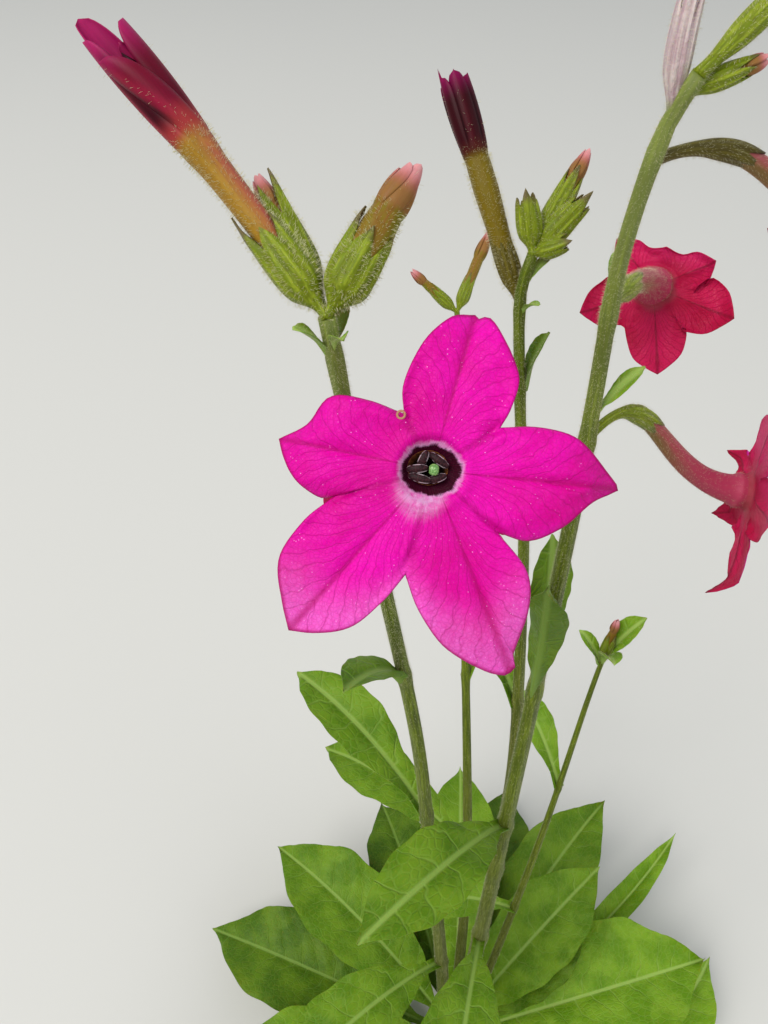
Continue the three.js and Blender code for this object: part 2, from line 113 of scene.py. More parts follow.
def spline(points, steps=PATH_STEPS):
    """A smooth line through all the points."""
    inner = np.asarray(points, float)
    p = np.vstack([2 * inner[0] - inner[1], inner, 2 * inner[-1] - inner[-2]])
    t = np.linspace(0, len(inner) - 1, steps + 1)
    i = np.minimum(t.astype(int), len(inner) - 2)
    w = (t - i)[:, None]
    a, b, c, d = p[i], p[i + 1], p[i + 2], p[i + 3]
    bend = (2 * a - 5 * b + 4 * c - d) * w**2 + (3 * b - a - 3 * c + d) * w**3
    return 0.5 * (2 * b + (c - a) * w + bend)


def bezier(*controls, steps=PATH_STEPS):
    t = np.linspace(0, 1, steps + 1)[:, None]
    order = len(controls) - 1
    terms = [
        math.comb(order, k) * t**k * (1 - t) ** (order - k) * np.asarray(point, float)
        for k, point in enumerate(controls)
    ]
    return sum(terms)


class Path:
    """A centre line with a frame, fixed by its normal at the far end."""

    def __init__(self, points, end_normal):
        self.points = np.asarray(points, float)
        last = len(self.points) - 1
        ends = np.arange(last + 1)
        ahead = self.points[np.minimum(ends + 1, last)]
        self.tangents = unit(ahead - self.points[np.maximum(ends - 1, 0)])
        steps = np.linalg.norm(np.diff(self.points, axis=0), axis=1)
        self.along = np.concatenate([[0], np.cumsum(steps)])
        self.length = self.along[-1]
        self.normals = np.zeros_like(self.points)
        normal = np.asarray(end_normal, float)
        for i in range(last, -1, -1):
            normal = unit(normal - normal.dot(self.tangents[i]) * self.tangents[i])
            self.normals[i] = normal

    def at(self, distance):
        """Points, tangents, normals and sides at distances, running on straight past both ends."""
        d = np.asarray(distance, float)
        i = np.clip(np.searchsorted(self.along, d, side="right") - 1, 0, len(self.points) - 2)
        share = ((d - self.along[i]) / (self.along[i + 1] - self.along[i]))[..., None]
        inside = np.clip(share, 0, 1)
        point = self.points[i] + (self.points[i + 1] - self.points[i]) * share
        tangent = unit(self.tangents[i] * (1 - inside) + self.tangents[i + 1] * inside)
        normal = unit(self.normals[i] * (1 - inside) + self.normals[i + 1] * inside)
        return point, tangent, normal, np.cross(tangent, normal)

    def bent(self, straight):
        """Points that stood on the z axis, laid along the path."""
        point, _, normal, side = self.at(straight[..., 2])
        return point + normal * straight[..., :1] + side * straight[..., 1:2]


def ease(values, low, high):
    """0 below low, 1 above high, and a smooth step between."""
    t = np.clip((np.asarray(values, float) - low) / (high - low), 0, 1)
    return t * t * (3 - 2 * t)

# %% [markdown]
# ## Skins
# A skin is a closed surface of rows of points, with a few values on each point that the materials
# read. The most useful value is `rest`: where the point was before the shape was bent. A pattern
# that reads `rest` runs along the stem or leaf however it curves, at its real size in millimetres.
# The meshes are filled from arrays, which takes moments where a loop over faces would take minutes.

# %% Make skins
class Skin:
    """Points, faces (arrays of quads or triangles), their finish numbers and values on the points."""

    def __init__(self, points, faces, finishes, values):
        self.points = points
        self.faces = faces
        self.finishes = finishes
        self.values = values


def loft(rings, row_finishes=None, **values):
    """A skin from rings (rows, sides, 3), closed round, with a middle point at each end."""
    rows, sides = rings.shape[:2]
    first, second = rows * sides, rows * sides + 1
    points = np.vstack([rings.reshape(-1, 3), rings[0].mean(axis=0), rings[-1].mean(axis=0)])
    row = np.arange(rows - 1)[:, None] * sides
    side = np.arange(sides)
    after = (side + 1) % sides
    quads = np.stack([row + side, row + after, row + sides + after, row + sides + side], axis=-1)
    top = (rows - 1) * sides
    start = np.stack([np.full(sides, first), after, side], axis=-1)
    end = np.stack([np.full(sides, second), top + side, top + after], axis=-1)
    row_finishes = np.zeros(rows - 1, int) if row_finishes is None else np.asarray(row_finishes)
    finishes = [
        np.repeat(row_finishes, sides),
        np.full(sides, row_finishes[0]),
        np.full(sides, row_finishes[-1]),
    ]
    flat = {}
    for key, value in values.items():
        value = np.broadcast_to(value, (rows, sides) + np.shape(value)[2:]).astype(float)
        ends = np.stack([value[0].mean(axis=0), value[-1].mean(axis=0)])
        flat[key] = np.concatenate([value.reshape((-1,) + value.shape[2:]), ends])
    return Skin(points, [quads.reshape(-1, 4), start, end], finishes, flat)


def join(skins):
    """Several skins as one."""
    skins = list(skins)
    starts = np.cumsum([0] + [len(s.points) for s in skins])
    faces = [f + start for s, start in zip(skins, starts) for f in s.faces]
    finishes = [f for s in skins for f in s.finishes]
    values = {
        key: np.concatenate([s.values[key] for s in skins])
        for key in skins[0].values
        if all(key in s.values for s in skins)
    }
    return Skin(np.vstack([s.points for s in skins]), faces, finishes, values)


def sheet(top, bottom, **values):
    """A thin closed skin from its two faces (rows, columns, 3); values are those of the top face."""
    rings = np.concatenate([bottom, top[:, ::-1]], axis=1)
    both = {key: np.concatenate([value, value[:, ::-1]], axis=1) for key, value in values.items()}
    columns = top.shape[1]
    under = np.where(np.arange(2 * columns) < columns, 1.0, 0.0)
    return loft(rings, under=np.broadcast_to(under, rings.shape[:2]), **both)

# %% [markdown]
# A piece is a skin made into a mesh. It gets its materials and its values, rides on the plant's one
# body, and hides the plain solids it stands for, if any.

# %% Make pieces
triangle_count = {}


def make_piece(name, skin, materials, stands_for=()):
    """The skin as an object that rides on the plant and stands for its solids."""
    mesh = bpy.data.meshes.new(name)
    mesh.vertices.add(len(skin.points))
    mesh.vertices.foreach_set("co", (skin.points * MM).astype(np.float32).ravel())
    corners = np.concatenate([f.ravel() for f in skin.faces]).astype(np.int32)
    sizes = np.concatenate([np.full(len(f), f.shape[1]) for f in skin.faces])
    mesh.loops.add(len(corners))
    mesh.loops.foreach_set("vertex_index", corners)
    mesh.polygons.add(len(sizes))
    mesh.polygons.foreach_set("loop_start", np.concatenate([[0], np.cumsum(sizes)[:-1]]))
    mesh.polygons.foreach_set("material_index", np.concatenate(skin.finishes))
    mesh.polygons.foreach_set("use_smooth", np.ones(len(sizes), bool))
    for key, value in skin.values.items():
        wide = value.ndim == 2
        layer = mesh.attributes.new(key, "FLOAT_VECTOR" if wide else "FLOAT", "POINT")
        layer.data.foreach_set("vector" if wide else "value", value.astype(np.float32).ravel())
    for material in materials:
        mesh.materials.append(material)
    mesh.update(calc_edges=True)
    piece = bpy.data.objects.new(name, mesh)
    bpy.context.scene.collection.objects.link(piece)
    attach(piece, "root")
    if stands_for:
        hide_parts(*stands_for)
    triangle_count[name] = int((sizes - 2).sum())

# %% [markdown]
# ## Shader helpers
# A node material is quicker to read when its sums look like sums. A `Value` stands for a socket, and
# adding or multiplying it makes the maths node that does so.

# %% Do sums with sockets
class Value:
    """A socket that gives a number, a place or a colour, and its node tree."""

    def __init__(self, socket):
        self.socket = socket
        self.tree = socket.id_data

    def __add__(self, other):
        return maths("ADD", self, other)

    def __sub__(self, other):
        return maths("SUBTRACT", self, other)

    def __rsub__(self, other):
        return maths("SUBTRACT", other, self)

    def __mul__(self, other):
        return maths("MULTIPLY", self, other)

    def __truediv__(self, other):
        return maths("DIVIDE", self, other)

    def __pow__(self, power):
        return maths("POWER", self, power)

    def __abs__(self):
        return maths("ABSOLUTE", self)

    def __gt__(self, other):
        return maths("GREATER_THAN", self, other)


def feed(socket, value):
    if isinstance(value, Value):
        value.tree.links.new(value.socket, socket)
    else:
        socket.default_value = value


def node(tree, kind, inputs=None, **settings):
    """A node with its settings and with what feeds its inputs."""
    made = tree.nodes.new(kind)
    for key, value in settings.items():
        setattr(made, key, value)
    for label, value in (inputs or {}).items():
        feed(made.inputs[label], value)
    return made


def maths(operation, *numbers, clamp=False):
    tree = next(number.tree for number in numbers if isinstance(number, Value))
    made = node(tree, "ShaderNodeMath", dict(enumerate(numbers)), operation=operation, use_clamp=clamp)
    return Value(made.outputs[0])

# %% [markdown]
# Each of the next helpers makes one node and says what feeds it. Colours are written as they look on a
# screen, from 0 to 255.

# %% Mix colours and draw patterns
def screen(red, green, blue):
    """A colour as it looks on a screen, as Blender's linear one."""
    c = np.array([red, green, blue]) / 255
    linear = np.where(c < 0.04045, c / 12.92, ((c + 0.055) / 1.055) ** 2.4)
    return (*[float(v) for v in linear], 1.0)


def blend(share, below, above):
    made = node(share.tree, "ShaderNodeMix", {0: share, 6: below, 7: above}, data_type="RGBA")
    return Value(made.outputs[2])


def step_up(value, low, high, to=1.0):
    """0 below low and `to` above high, smooth between."""
    ends = {"Value": value, "From Min": low, "From Max": high, "To Min": 0.0, "To Max": to}
    return Value(node(value.tree, "ShaderNodeMapRange", ends, interpolation_type="SMOOTHSTEP").outputs[0])


def read(tree, name, output="Fac"):
    """A value that the skin has on its points."""
    return Value(node(tree, "ShaderNodeAttribute", attribute_name=name).outputs[output])


def stretched(place, scale):
    return Value(node(place.tree, "ShaderNodeMapping", {"Vector": place, "Scale": scale}).outputs[0])


def noise(place, scale=1.0, detail=2.0, rough=0.5):
    grain = {"Vector": place, "Scale": scale, "Detail": detail, "Roughness": rough}
    return Value(node(place.tree, "ShaderNodeTexNoise", grain).outputs["Fac"])


def cells(place, scale=1.0, feature="DISTANCE_TO_EDGE"):
    """The distance from the nearest cell wall, or with F1 from the nearest cell's middle."""
    made = node(place.tree, "ShaderNodeTexVoronoi", {"Vector": place, "Scale": scale}, feature=feature)
    return Value(made.outputs["Distance"])


def parts_of(vector):
    return [Value(part) for part in node(vector.tree, "ShaderNodeSeparateXYZ", {0: vector}).outputs]

# %% [markdown]
# A group holds an effect that several materials share. A material's plain numbers go on the sockets of
# its own Principled shader, where an export can read them.

# %% Make groups and materials
def group(name, inputs, outputs):
    """An empty shader node group with its sockets, each a label and a kind, and its two ends."""
    made = bpy.data.node_groups.new(name, "ShaderNodeTree")
    for side, sockets in (("INPUT", inputs), ("OUTPUT", outputs)):
        for label, kind in sockets.items():
            made.interface.new_socket(label, in_out=side, socket_type=f"NodeSocket{kind}")
    start = node(made, "NodeGroupInput").outputs
    return made, {label: Value(start[label]) for label in inputs}, node(made, "NodeGroupOutput").inputs


def use(made, **values):
    """What a group gives, placed in a material with its inputs."""
    placed = node(values["Place"].tree, "ShaderNodeGroup", node_tree=made)
    for label, value in values.items():
        feed(placed.inputs[label], value)
    return {output.name: Value(output) for output in placed.outputs}


def material(name, roughness=0.5, specular=0.5, sheen=0.0, subsurface=0.0, reach=0.001):
    """A material with its Principled shader, whose plain values are set on its own sockets."""
    made = bpy.data.materials.new(name)
    made.use_nodes = True
    shader = made.node_tree.nodes["Principled BSDF"]
    shader.inputs["Roughness"].default_value = roughness
    shader.inputs["Specular IOR Level"].default_value = specular
    shader.inputs["Sheen Weight"].default_value = sheen
    shader.inputs["Subsurface Weight"].default_value = subsurface
    shader.inputs["Subsurface Scale"].default_value = reach
    return made, made.node_tree, shader


def paint(shader, colour, height, distance, strength):
    """Gives a shader its colour, and its relief from a height."""
    relief = {"Height": height, "Distance": distance, "Strength": strength}
    feed(shader.inputs["Base Color"], colour)
    feed(shader.inputs["Normal"], Value(node(height.tree, "ShaderNodeBump", relief).outputs[0]))

# %% [markdown]
# ## Shared effects
# Four effects come back on many parts of the plant, so each is a node group. `mottle` is the uneven
# tone of living skin. `streaks` are the fine lengthwise lines of stems, tubes and calyces.
# `leaf_veins` draws a midrib, slanting side veins and the net between them, at their real spacing.
# `petal_veins` draws the fan of veins that opens from the throat of a flower.

# %% Build the effects
VEIN_SPACING = 15.0  # between a leaf's side veins, along the midrib
VEIN_SLANT = 0.42  # how far a side vein runs on towards the tip for each step outwards
VEIN_BOW = 0.011  # and how much more of that for each step squared
VEIN_STAGGER = 0.45  # share of the spacing between the left side's veins and the right side's

mottle, have, give = group("mottle", {"Place": "Vector"}, {"Broad": "Float", "Fine": "Float"})
feed(give["Broad"], noise(have["Place"], 0.05, 3.0, 0.55))
feed(give["Fine"], noise(have["Place"], 0.9, 4.0, 0.6))

streaks, have, give = group("streaks", {"Place": "Vector"}, {"Lines": "Float", "Height": "Float"})
long_lines = noise(stretched(have["Place"], (1.6, 1.6, 0.06)), 1.0, 3.0, 0.6)
hair_lines = noise(stretched(have["Place"], (5.0, 5.0, 0.25)), 1.0, 2.0, 0.5)
feed(give["Lines"], step_up(long_lines, 0.38, 0.66))
feed(give["Height"], long_lines * 0.7 + hair_lines * 0.3)

leaf_veins, have, give = group(
    "leaf_veins",
    {"Place": "Vector", "Spacing": "Float"},
    {"Midrib": "Float", "Laterals": "Float", "Net": "Float", "Height": "Float"},
)
wander = noise(have["Place"], 0.06, 2.0)
along, across, _ = parts_of(have["Place"])
off = abs(across)
shifted = along - (off**2 * VEIN_BOW + off * VEIN_SLANT) + wander * 15.0
phase = shifted / have["Spacing"] + (across > 0.0) * VEIN_STAGGER
from_vein = abs(maths("FRACT", phase) - 0.5) * have["Spacing"]
laterals = 1 - step_up(from_vein + off * 0.03, 0.1, 1.3)  # thinner towards the margin
middle = 1 - step_up(off, 0.5, 1.9)
net = 1 - step_up(cells(stretched(have["Place"], (0.22, 0.3, 0.3))), 0.02, 0.14)
feed(give["Midrib"], middle)
feed(give["Laterals"], laterals)
feed(give["Net"], net)
feed(give["Height"], 1 - maths("MAXIMUM", net * 0.35, maths("MAXIMUM", laterals, middle)))

petal_veins, have, give = group(
    "petal_veins",
    {"Fan": "Vector", "Place": "Vector"},
    {"Crease": "Float", "Veins": "Float", "Net": "Float", "Height": "Float"},
)
outward, share, _ = parts_of(have["Fan"])
warp = noise(have["Place"], 0.22, 3.0)
broken = step_up(noise(have["Place"], 0.45, 3.0), 0.36, 0.58)


def fan_of_lines(count, lean, width):
    """Lines that leave the midline and run out to the edge."""
    line = (outward + warp * 0.2 + share * lean) * count
    return 1 - step_up(abs(maths("FRACT", line) - 0.5), 0.0, width)


fine_lines = fan_of_lines(15.0, -0.95, 0.14) * broken * 0.6
fan_veins = maths("MAXIMUM", fan_of_lines(8.0, -0.55, 0.09), fine_lines)
petal_net = 1 - step_up(cells(have["Place"], 1.3), 0.0, 0.14)
# Crease is the lobe's midline. The petal finishes darken it, partly as its own deeper colour and partly as
# painted shade.
feed(give["Crease"], 1 - step_up(outward, 0.005, 0.06))
feed(give["Veins"], fan_veins)
feed(give["Net"], petal_net)
feed(give["Height"], 1 - maths("MAXIMUM", petal_net * 0.45, fan_veins))


def living(tree):
    """The skin's rest place, with the two effects that most parts have there."""
    place = read(tree, "rest", "Vector")
    return place, use(mottle, Place=place), use(streaks, Place=place)


print("effects", [g.name for g in bpy.data.node_groups])

# %% [markdown]
# ## Stem and crown finishes
# The stems are fresh green with fine paler lines, duller and greyer where they are old. The crown is
# the woody foot of the clump, brownish and ridged, so it gets more relief and a rougher surface.

# %% Finish the stems and the crown
stem_skin, tree, shader = material("stem_skin", roughness=0.5, specular=0.18, sheen=0.02, subsurface=0.06)
place, tones, lines = living(tree)
fresh = blend(lines["Lines"], screen(74, 88, 4), screen(114, 128, 24))
old = blend(lines["Lines"], screen(76, 84, 22), screen(108, 112, 46))
green = blend(step_up(read(tree, "along"), 0.25, 0.7), old, fresh)
green = blend(step_up(parts_of(place)[2], 560.0, 700.0, 0.5), green, screen(148, 158, 92))
green = blend(step_up(tones["Broad"], 0.35, 0.75, 0.5), green, screen(62, 72, 8))
paint(shader, green, lines["Height"], 0.0003, 0.7)

crown_skin, tree, shader = material("crown_skin", roughness=0.8)
_, tones, lines = living(tree)
bark = blend(lines["Lines"], screen(96, 82, 50), screen(150, 138, 92))
bark = blend(step_up(tones["Fine"], 0.45, 0.7, 0.6), bark, screen(78, 88, 42))
paint(shader, bark, lines["Height"] + tones["Fine"], 0.0009, 0.9)
print("finishes", [m.name for m in bpy.data.materials])

# %% [markdown]
# ## Stems
# Each stem is one smooth route from the crown to its tip. A plain tube would look like wire, so the
# radius tapers, swells a little at each leaf joint and wears five soft ribs. The thinner middle stem
# is a side branch, and a collar hides where it leaves the tall one.

# %% Grow the stems
STEMS = {
    "stem_right": dict(foot=5.6, tip=1.5, route=[
        (0, 0, 24), (2, 4, 200), (0, 8, 420), (-3, 9, 590), (-4.5, 10, 638),
        (-5.6, 11, 672), (-3.8, 9.5, 698), (-1, 6, 710)]),
    "stem_left": dict(foot=4.6, tip=1.7, route=[
        (-7, 1, 22), (-17, 7, 180), (-32, 10, 360), (-42, 10, 474), (-59, -2, 610), (-66, -9, 672)]),
    "stem_middle": dict(foot=2.9, tip=1.4, route=[
        (0, 7, 350), (2, 22, 430), (-6, 38, 545), (-15, 43, 613), (-19.5, 41, 647), (-17.5, 43, 659)]),
    "stem_back": dict(foot=4.2, tip=1.4, route=[
        (1, 8, 22), (2, 62, 200), (-6, 140, 370), (-12, 200, 480), (-16, 226, 535)]),
    "stem_shoot": dict(foot=3.2, tip=1.3, route=[
        (8, 3, 22), (26, 28, 140), (44, 58, 270), (57, 86, 375), (62, 95, 412)]),
}
STEM_SIDES = 20
STEM_ROW = 5.0  # height of a ring of faces
STEM_RIB = 0.05  # share of the radius
JOINT_SWELL = 0.22

stem_paths = {name: Path(spline(stem["route"]), (1, 0, 0)) for name, stem in STEMS.items()}


def stem_point(name, height):
    """The point on a stem's centre line at a height above the ground."""
    points = stem_paths[name].points
    return places_on(points, points[:, 2], height)


def height_along(name, height):
    path = stem_paths[name]
    return float(np.interp(height, path.points[:, 2], path.along))


STEM_JOINTS = {
    "stem_right": [250, 350, 400, 511, 534, 626, 662, 694],
    "stem_left": [190, 404, 525, 598, 660],
    "stem_middle": [470, 617, 646],
    "stem_back": [215, 340, 410, 445],
    "stem_shoot": [190, 310],
}


def stem_skin_of(name):
    stem, path = STEMS[name], stem_paths[name]
    rows = int(path.length / STEM_ROW)
    share = np.linspace(0, 1, rows)[:, None]
    angle = round_angles(STEM_SIDES)
    distance = share * path.length
    radius = stem["foot"] + (stem["tip"] - stem["foot"]) * share
    for height in STEM_JOINTS[name]:
        from_joint = (distance - height_along(name, height)) / (1.6 * radius)
        radius = radius * (1 + JOINT_SWELL * np.exp(-(from_joint**2)))
    straight = around(radius * (1 + STEM_RIB * np.cos(5 * angle + 2.0 * share)), angle, distance)
    return loft(path.bent(straight), rest=straight, along=share + 0 * angle)


stem_skins = {name: stem_skin_of(name) for name in STEMS}
for name, skin in stem_skins.items():
    make_piece(f"{name}_skin", skin, [stem_skin], [name])
print("stems", {name: round(path.length) for name, path in stem_paths.items()})

# %% [markdown]
# ## The crown
# All stems and rosette leaves spring from one short crown. It is turned from the same outline as its
# solid, then pushed in and out by lengthwise ridges and the scars of old leaves, and kept flat where
# it meets the ground.

# %% Grow the crown
CROWN_HEIGHT = 32
CROWN_RADIUS = 11
CROWN_FLARE = 19
CROWN_RIDGE = 0.09


def crown_skin_of():
    outline = np.array([
        (CROWN_FLARE - 1, 0), (CROWN_FLARE, 0.6), (0.8 * CROWN_FLARE, 0.12 * CROWN_HEIGHT),
        (1.08 * CROWN_RADIUS, 0.32 * CROWN_HEIGHT), (CROWN_RADIUS, 0.6 * CROWN_HEIGHT),
        (0.85 * CROWN_RADIUS, 0.86 * CROWN_HEIGHT), (0.3 * CROWN_RADIUS, CROWN_HEIGHT),
    ])
    profile = spline(outline, 40)
    profile[:, 1] = np.maximum(profile[:, 1], 0)
    angle = round_angles(72)
    share = np.linspace(0, 1, len(profile))[:, None]
    ridge = np.cos(11 * angle + 3 * share) + 0.6 * np.cos(7 * angle - 9 * share)
    scars = np.cos(26 * share + 2 * np.sin(3 * angle))
    radius = profile[:, :1] * (1 + CROWN_RIDGE * ridge * ease(share, 0.02, 0.3) + 0.03 * scars)
    radius[0] = profile[0, 0]
    straight = around(np.minimum(radius, CROWN_FLARE), angle, profile[:, 1:])
    return loft(straight, rest=straight)


make_piece("crown", crown_skin_of(), [crown_skin], ["root_crown"])
print("crown", triangle_count["crown"], "triangles")

# %% [markdown]
# ## Leaf finishes
# A leaf of this plant is soft and a little quilted: the veins lie in grooves and the green between
# them swells. Young leaves are yellow-green and old ones dark, and the underside is paler. Each leaf
# has its own `tone`, so one material serves all of them; the tone also holds painted light, lighter
# for leaves up in the light and darker for those in shade below.

# %% Finish the leaves
leaf_skin, tree, shader = material("leaf_skin", roughness=0.5, specular=0.16, subsurface=0.12, reach=0.0015)
place, tone, under = read(tree, "rest", "Vector"), read(tree, "tone"), read(tree, "under")
tones, veins = use(mottle, Place=place), use(leaf_veins, Place=place, Spacing=VEIN_SPACING)
clouds = step_up(tones["Broad"], 0.35, 0.65)
dark = blend(clouds, screen(44, 74, 2), screen(70, 98, 4))
light = blend(clouds, screen(98, 140, 10), screen(126, 164, 36))
# Each leaf's tone picks between the dark and the light greens: partly its age, partly painted light, lighter
# for leaves in the light and darker for those in shade.
green = blend(tone, dark, light)
green = blend(step_up(tones["Fine"], 0.5, 0.75, 0.25), green, screen(136, 150, 36))
pale_vein = blend(tone, screen(96, 124, 44), screen(160, 188, 92))
green = blend(maths("MAXIMUM", veins["Laterals"] * 0.36, veins["Net"] * 0.12), green, pale_vein)
green = blend(veins["Midrib"] * 0.85, green, pale_vein)
green = blend(under * 0.3, green, screen(112, 136, 52))
paint(shader, green, tones["Fine"] * 0.25 + veins["Height"], 0.0006, 0.75)
feed(shader.inputs["Roughness"], tones["Fine"] * 0.3 + 0.36)
print("leaf finish", len(tree.nodes), "nodes")

# %% [markdown]
# ## Leaves
# A leaf could be a flat outline with a picture on it, but from the side it would look like card.
# Here each leaf is a closed skin around its curved midrib: a thick channelled stalk that runs out
# into a thin blade with a rib below, side veins pressed into it, and a margin that ripples.
# The midribs repeat the solids': `rise` and `fall` are the angles at foot and tip, `sweep` turns it.

# %% List the leaves
PETIOLE_WIDTH = 7
PETIOLE_SHARE = 0.16
BLADE = 0.5  # thickness between the veins
Leaf = namedtuple(
    "Leaf", "on height azimuth length width rise fall sweep fold tone ripple", defaults=(0, 14, 0.4, 2.2),
)
LEAVES = {
    "leaf_rosette_01": Leaf("crown", 14, 6, 216, 92, 42, -8, 10, tone=0.85, ripple=3.4),
    "leaf_rosette_02": Leaf("crown", 21, 32, 154, 60, 58, 4, 4, tone=0.3),
    "leaf_rosette_03": Leaf("crown", 27, 37, 186, 60, 66, 4, 2, tone=0.5),
    "leaf_rosette_04": Leaf("crown", 14, 54, 232, 64, 46, -4, -10, tone=0.4),
    "leaf_rosette_05": Leaf("crown", 7, -28, 246, 66, 18, -6, 82, 8, tone=1.0, ripple=3.2),
    "leaf_rosette_06": Leaf("crown", 8, 22, 262, 27, 16, 4, 26, 34, tone=0.9, ripple=1.2),
    "leaf_rosette_07": Leaf("crown", 23, 86, 214, 66, 56, -8, 0, tone=0.75),
    "leaf_rosette_08": Leaf("crown", 15, 106, 198, 66, 42, -20, 4, tone=0.15),
    "leaf_rosette_09": Leaf("crown", 7, 70, 215, 68, 24, -14, 4, tone=0.2),
    "leaf_rosette_10": Leaf("crown", 22, 138, 212, 70, 52, -14, 4, tone=0.5),
    "leaf_rosette_11": Leaf("crown", 9, 162, 222, 76, 28, -16, -4, tone=0.25),
    "leaf_rosette_12": Leaf("crown", 18, 192, 205, 72, 46, -20, 6, tone=0.6, ripple=3.0),
    "leaf_rosette_13": Leaf("crown", 8, 222, 212, 72, 26, -16, 4, tone=0.3),
    "leaf_rosette_14": Leaf("crown", 20, 246, 192, 66, 50, -18, -4, tone=0.65),
    "leaf_rosette_15": Leaf("crown", 8, 272, 208, 70, 28, -18, 4, tone=0.35),
    "leaf_rosette_16": Leaf("crown", 17, 298, 186, 64, 50, -14, 2, tone=0.7, ripple=3.0),
    "leaf_left_1": Leaf("stem_left", 190, 214, 138, 46, 48, -28, 6, tone=0.55),
    "leaf_left_2": Leaf("stem_left", 404, 136, 92, 28, 50, -6, 4, tone=0.5, ripple=1.4),
    "leaf_left_3": Leaf("stem_left", 525, 235, 54, 15, 66, 30, 8, tone=0.45, ripple=0.8),
    "leaf_right_1": Leaf("stem_right", 250, 252, 142, 48, 50, -24, 6, tone=0.5),
    "leaf_right_2": Leaf("stem_right", 400, 226, 102, 32, 56, -10, -6, tone=0.45, ripple=1.4),
    "leaf_right_3": Leaf("stem_right", 511, 238, 76, 13, 82, 76, 0, tone=0.18, ripple=1.6),
    "leaf_right_4": Leaf("stem_right", 534, 95, 46, 14, 80, 66, 0, tone=0.6, ripple=0.8),
    "leaf_middle_1": Leaf("stem_middle", 470, 120, 74, 24, 52, 0, 6, tone=0.5, ripple=1.2),
    "leaf_middle_2": Leaf("stem_middle", 617, 5, 20, 7, 84, 64, 0, tone=0.3, ripple=0.3),
    "leaf_back_1": Leaf("stem_back", 215, 142, 128, 42, 42, -26, 8, tone=0.5),
    "leaf_back_2": Leaf("stem_back", 340, 60, 88, 28, 44, -16, 6, tone=0.55, ripple=1.4),
    "leaf_shoot_1": Leaf("stem_shoot", 190, 182, 96, 32, 48, -16, -6, tone=0.7, ripple=1.6),
    "leaf_shoot_2": Leaf("stem_shoot", 310, 110, 66, 20, 50, -4, 6, tone=0.8, ripple=1.2),
}
print("leaves", len(LEAVES), "longest", max(spec.length for spec in LEAVES.values()), "mm")

# %% [markdown]
# Seen flat, a leaf is a narrow stalk that swells into a blade and comes to a point. Seen from the side,
# its midrib bends evenly, from the angle at its foot to the one at its tip.

# %% Draw a leaf's outline and midrib
def petiole_width(width):
    """The stalk of a leaf whose blade has this width."""
    return min(PETIOLE_WIDTH, 0.32 * width)


def half_width(share, width):
    """Half the blade's width at shares of its length."""
    petiole = petiole_width(width) / 2
    blade = np.maximum(0, (share - PETIOLE_SHARE) / (1 - PETIOLE_SHARE))
    swell = np.maximum(np.sin(np.pi * blade**1.25), 0) ** (0.8 + 0.6 * ease(blade, 0.6, 1.0))
    narrowing = np.minimum(1, (1 - share) / 0.1)
    return np.maximum(0.25, petiole * narrowing + (width / 2 - petiole) * swell)


def midrib(spec, foot):
    """Points of the midrib from foot to tip."""
    share = (np.arange(PATH_STEPS) + 0.5) / PATH_STEPS
    climb = spec.rise + (spec.fall - spec.rise) * share
    steps = heading(spec.azimuth + spec.sweep * share, climb) * spec.length / PATH_STEPS
    return np.vstack([foot, foot + np.cumsum(steps, axis=0)])

# %% [markdown]
# A row of points crosses the midrib at each step along it. The same formula as in the `leaf_veins`
# effect says where the side veins run, so the blade swells between the lines that are painted on it.

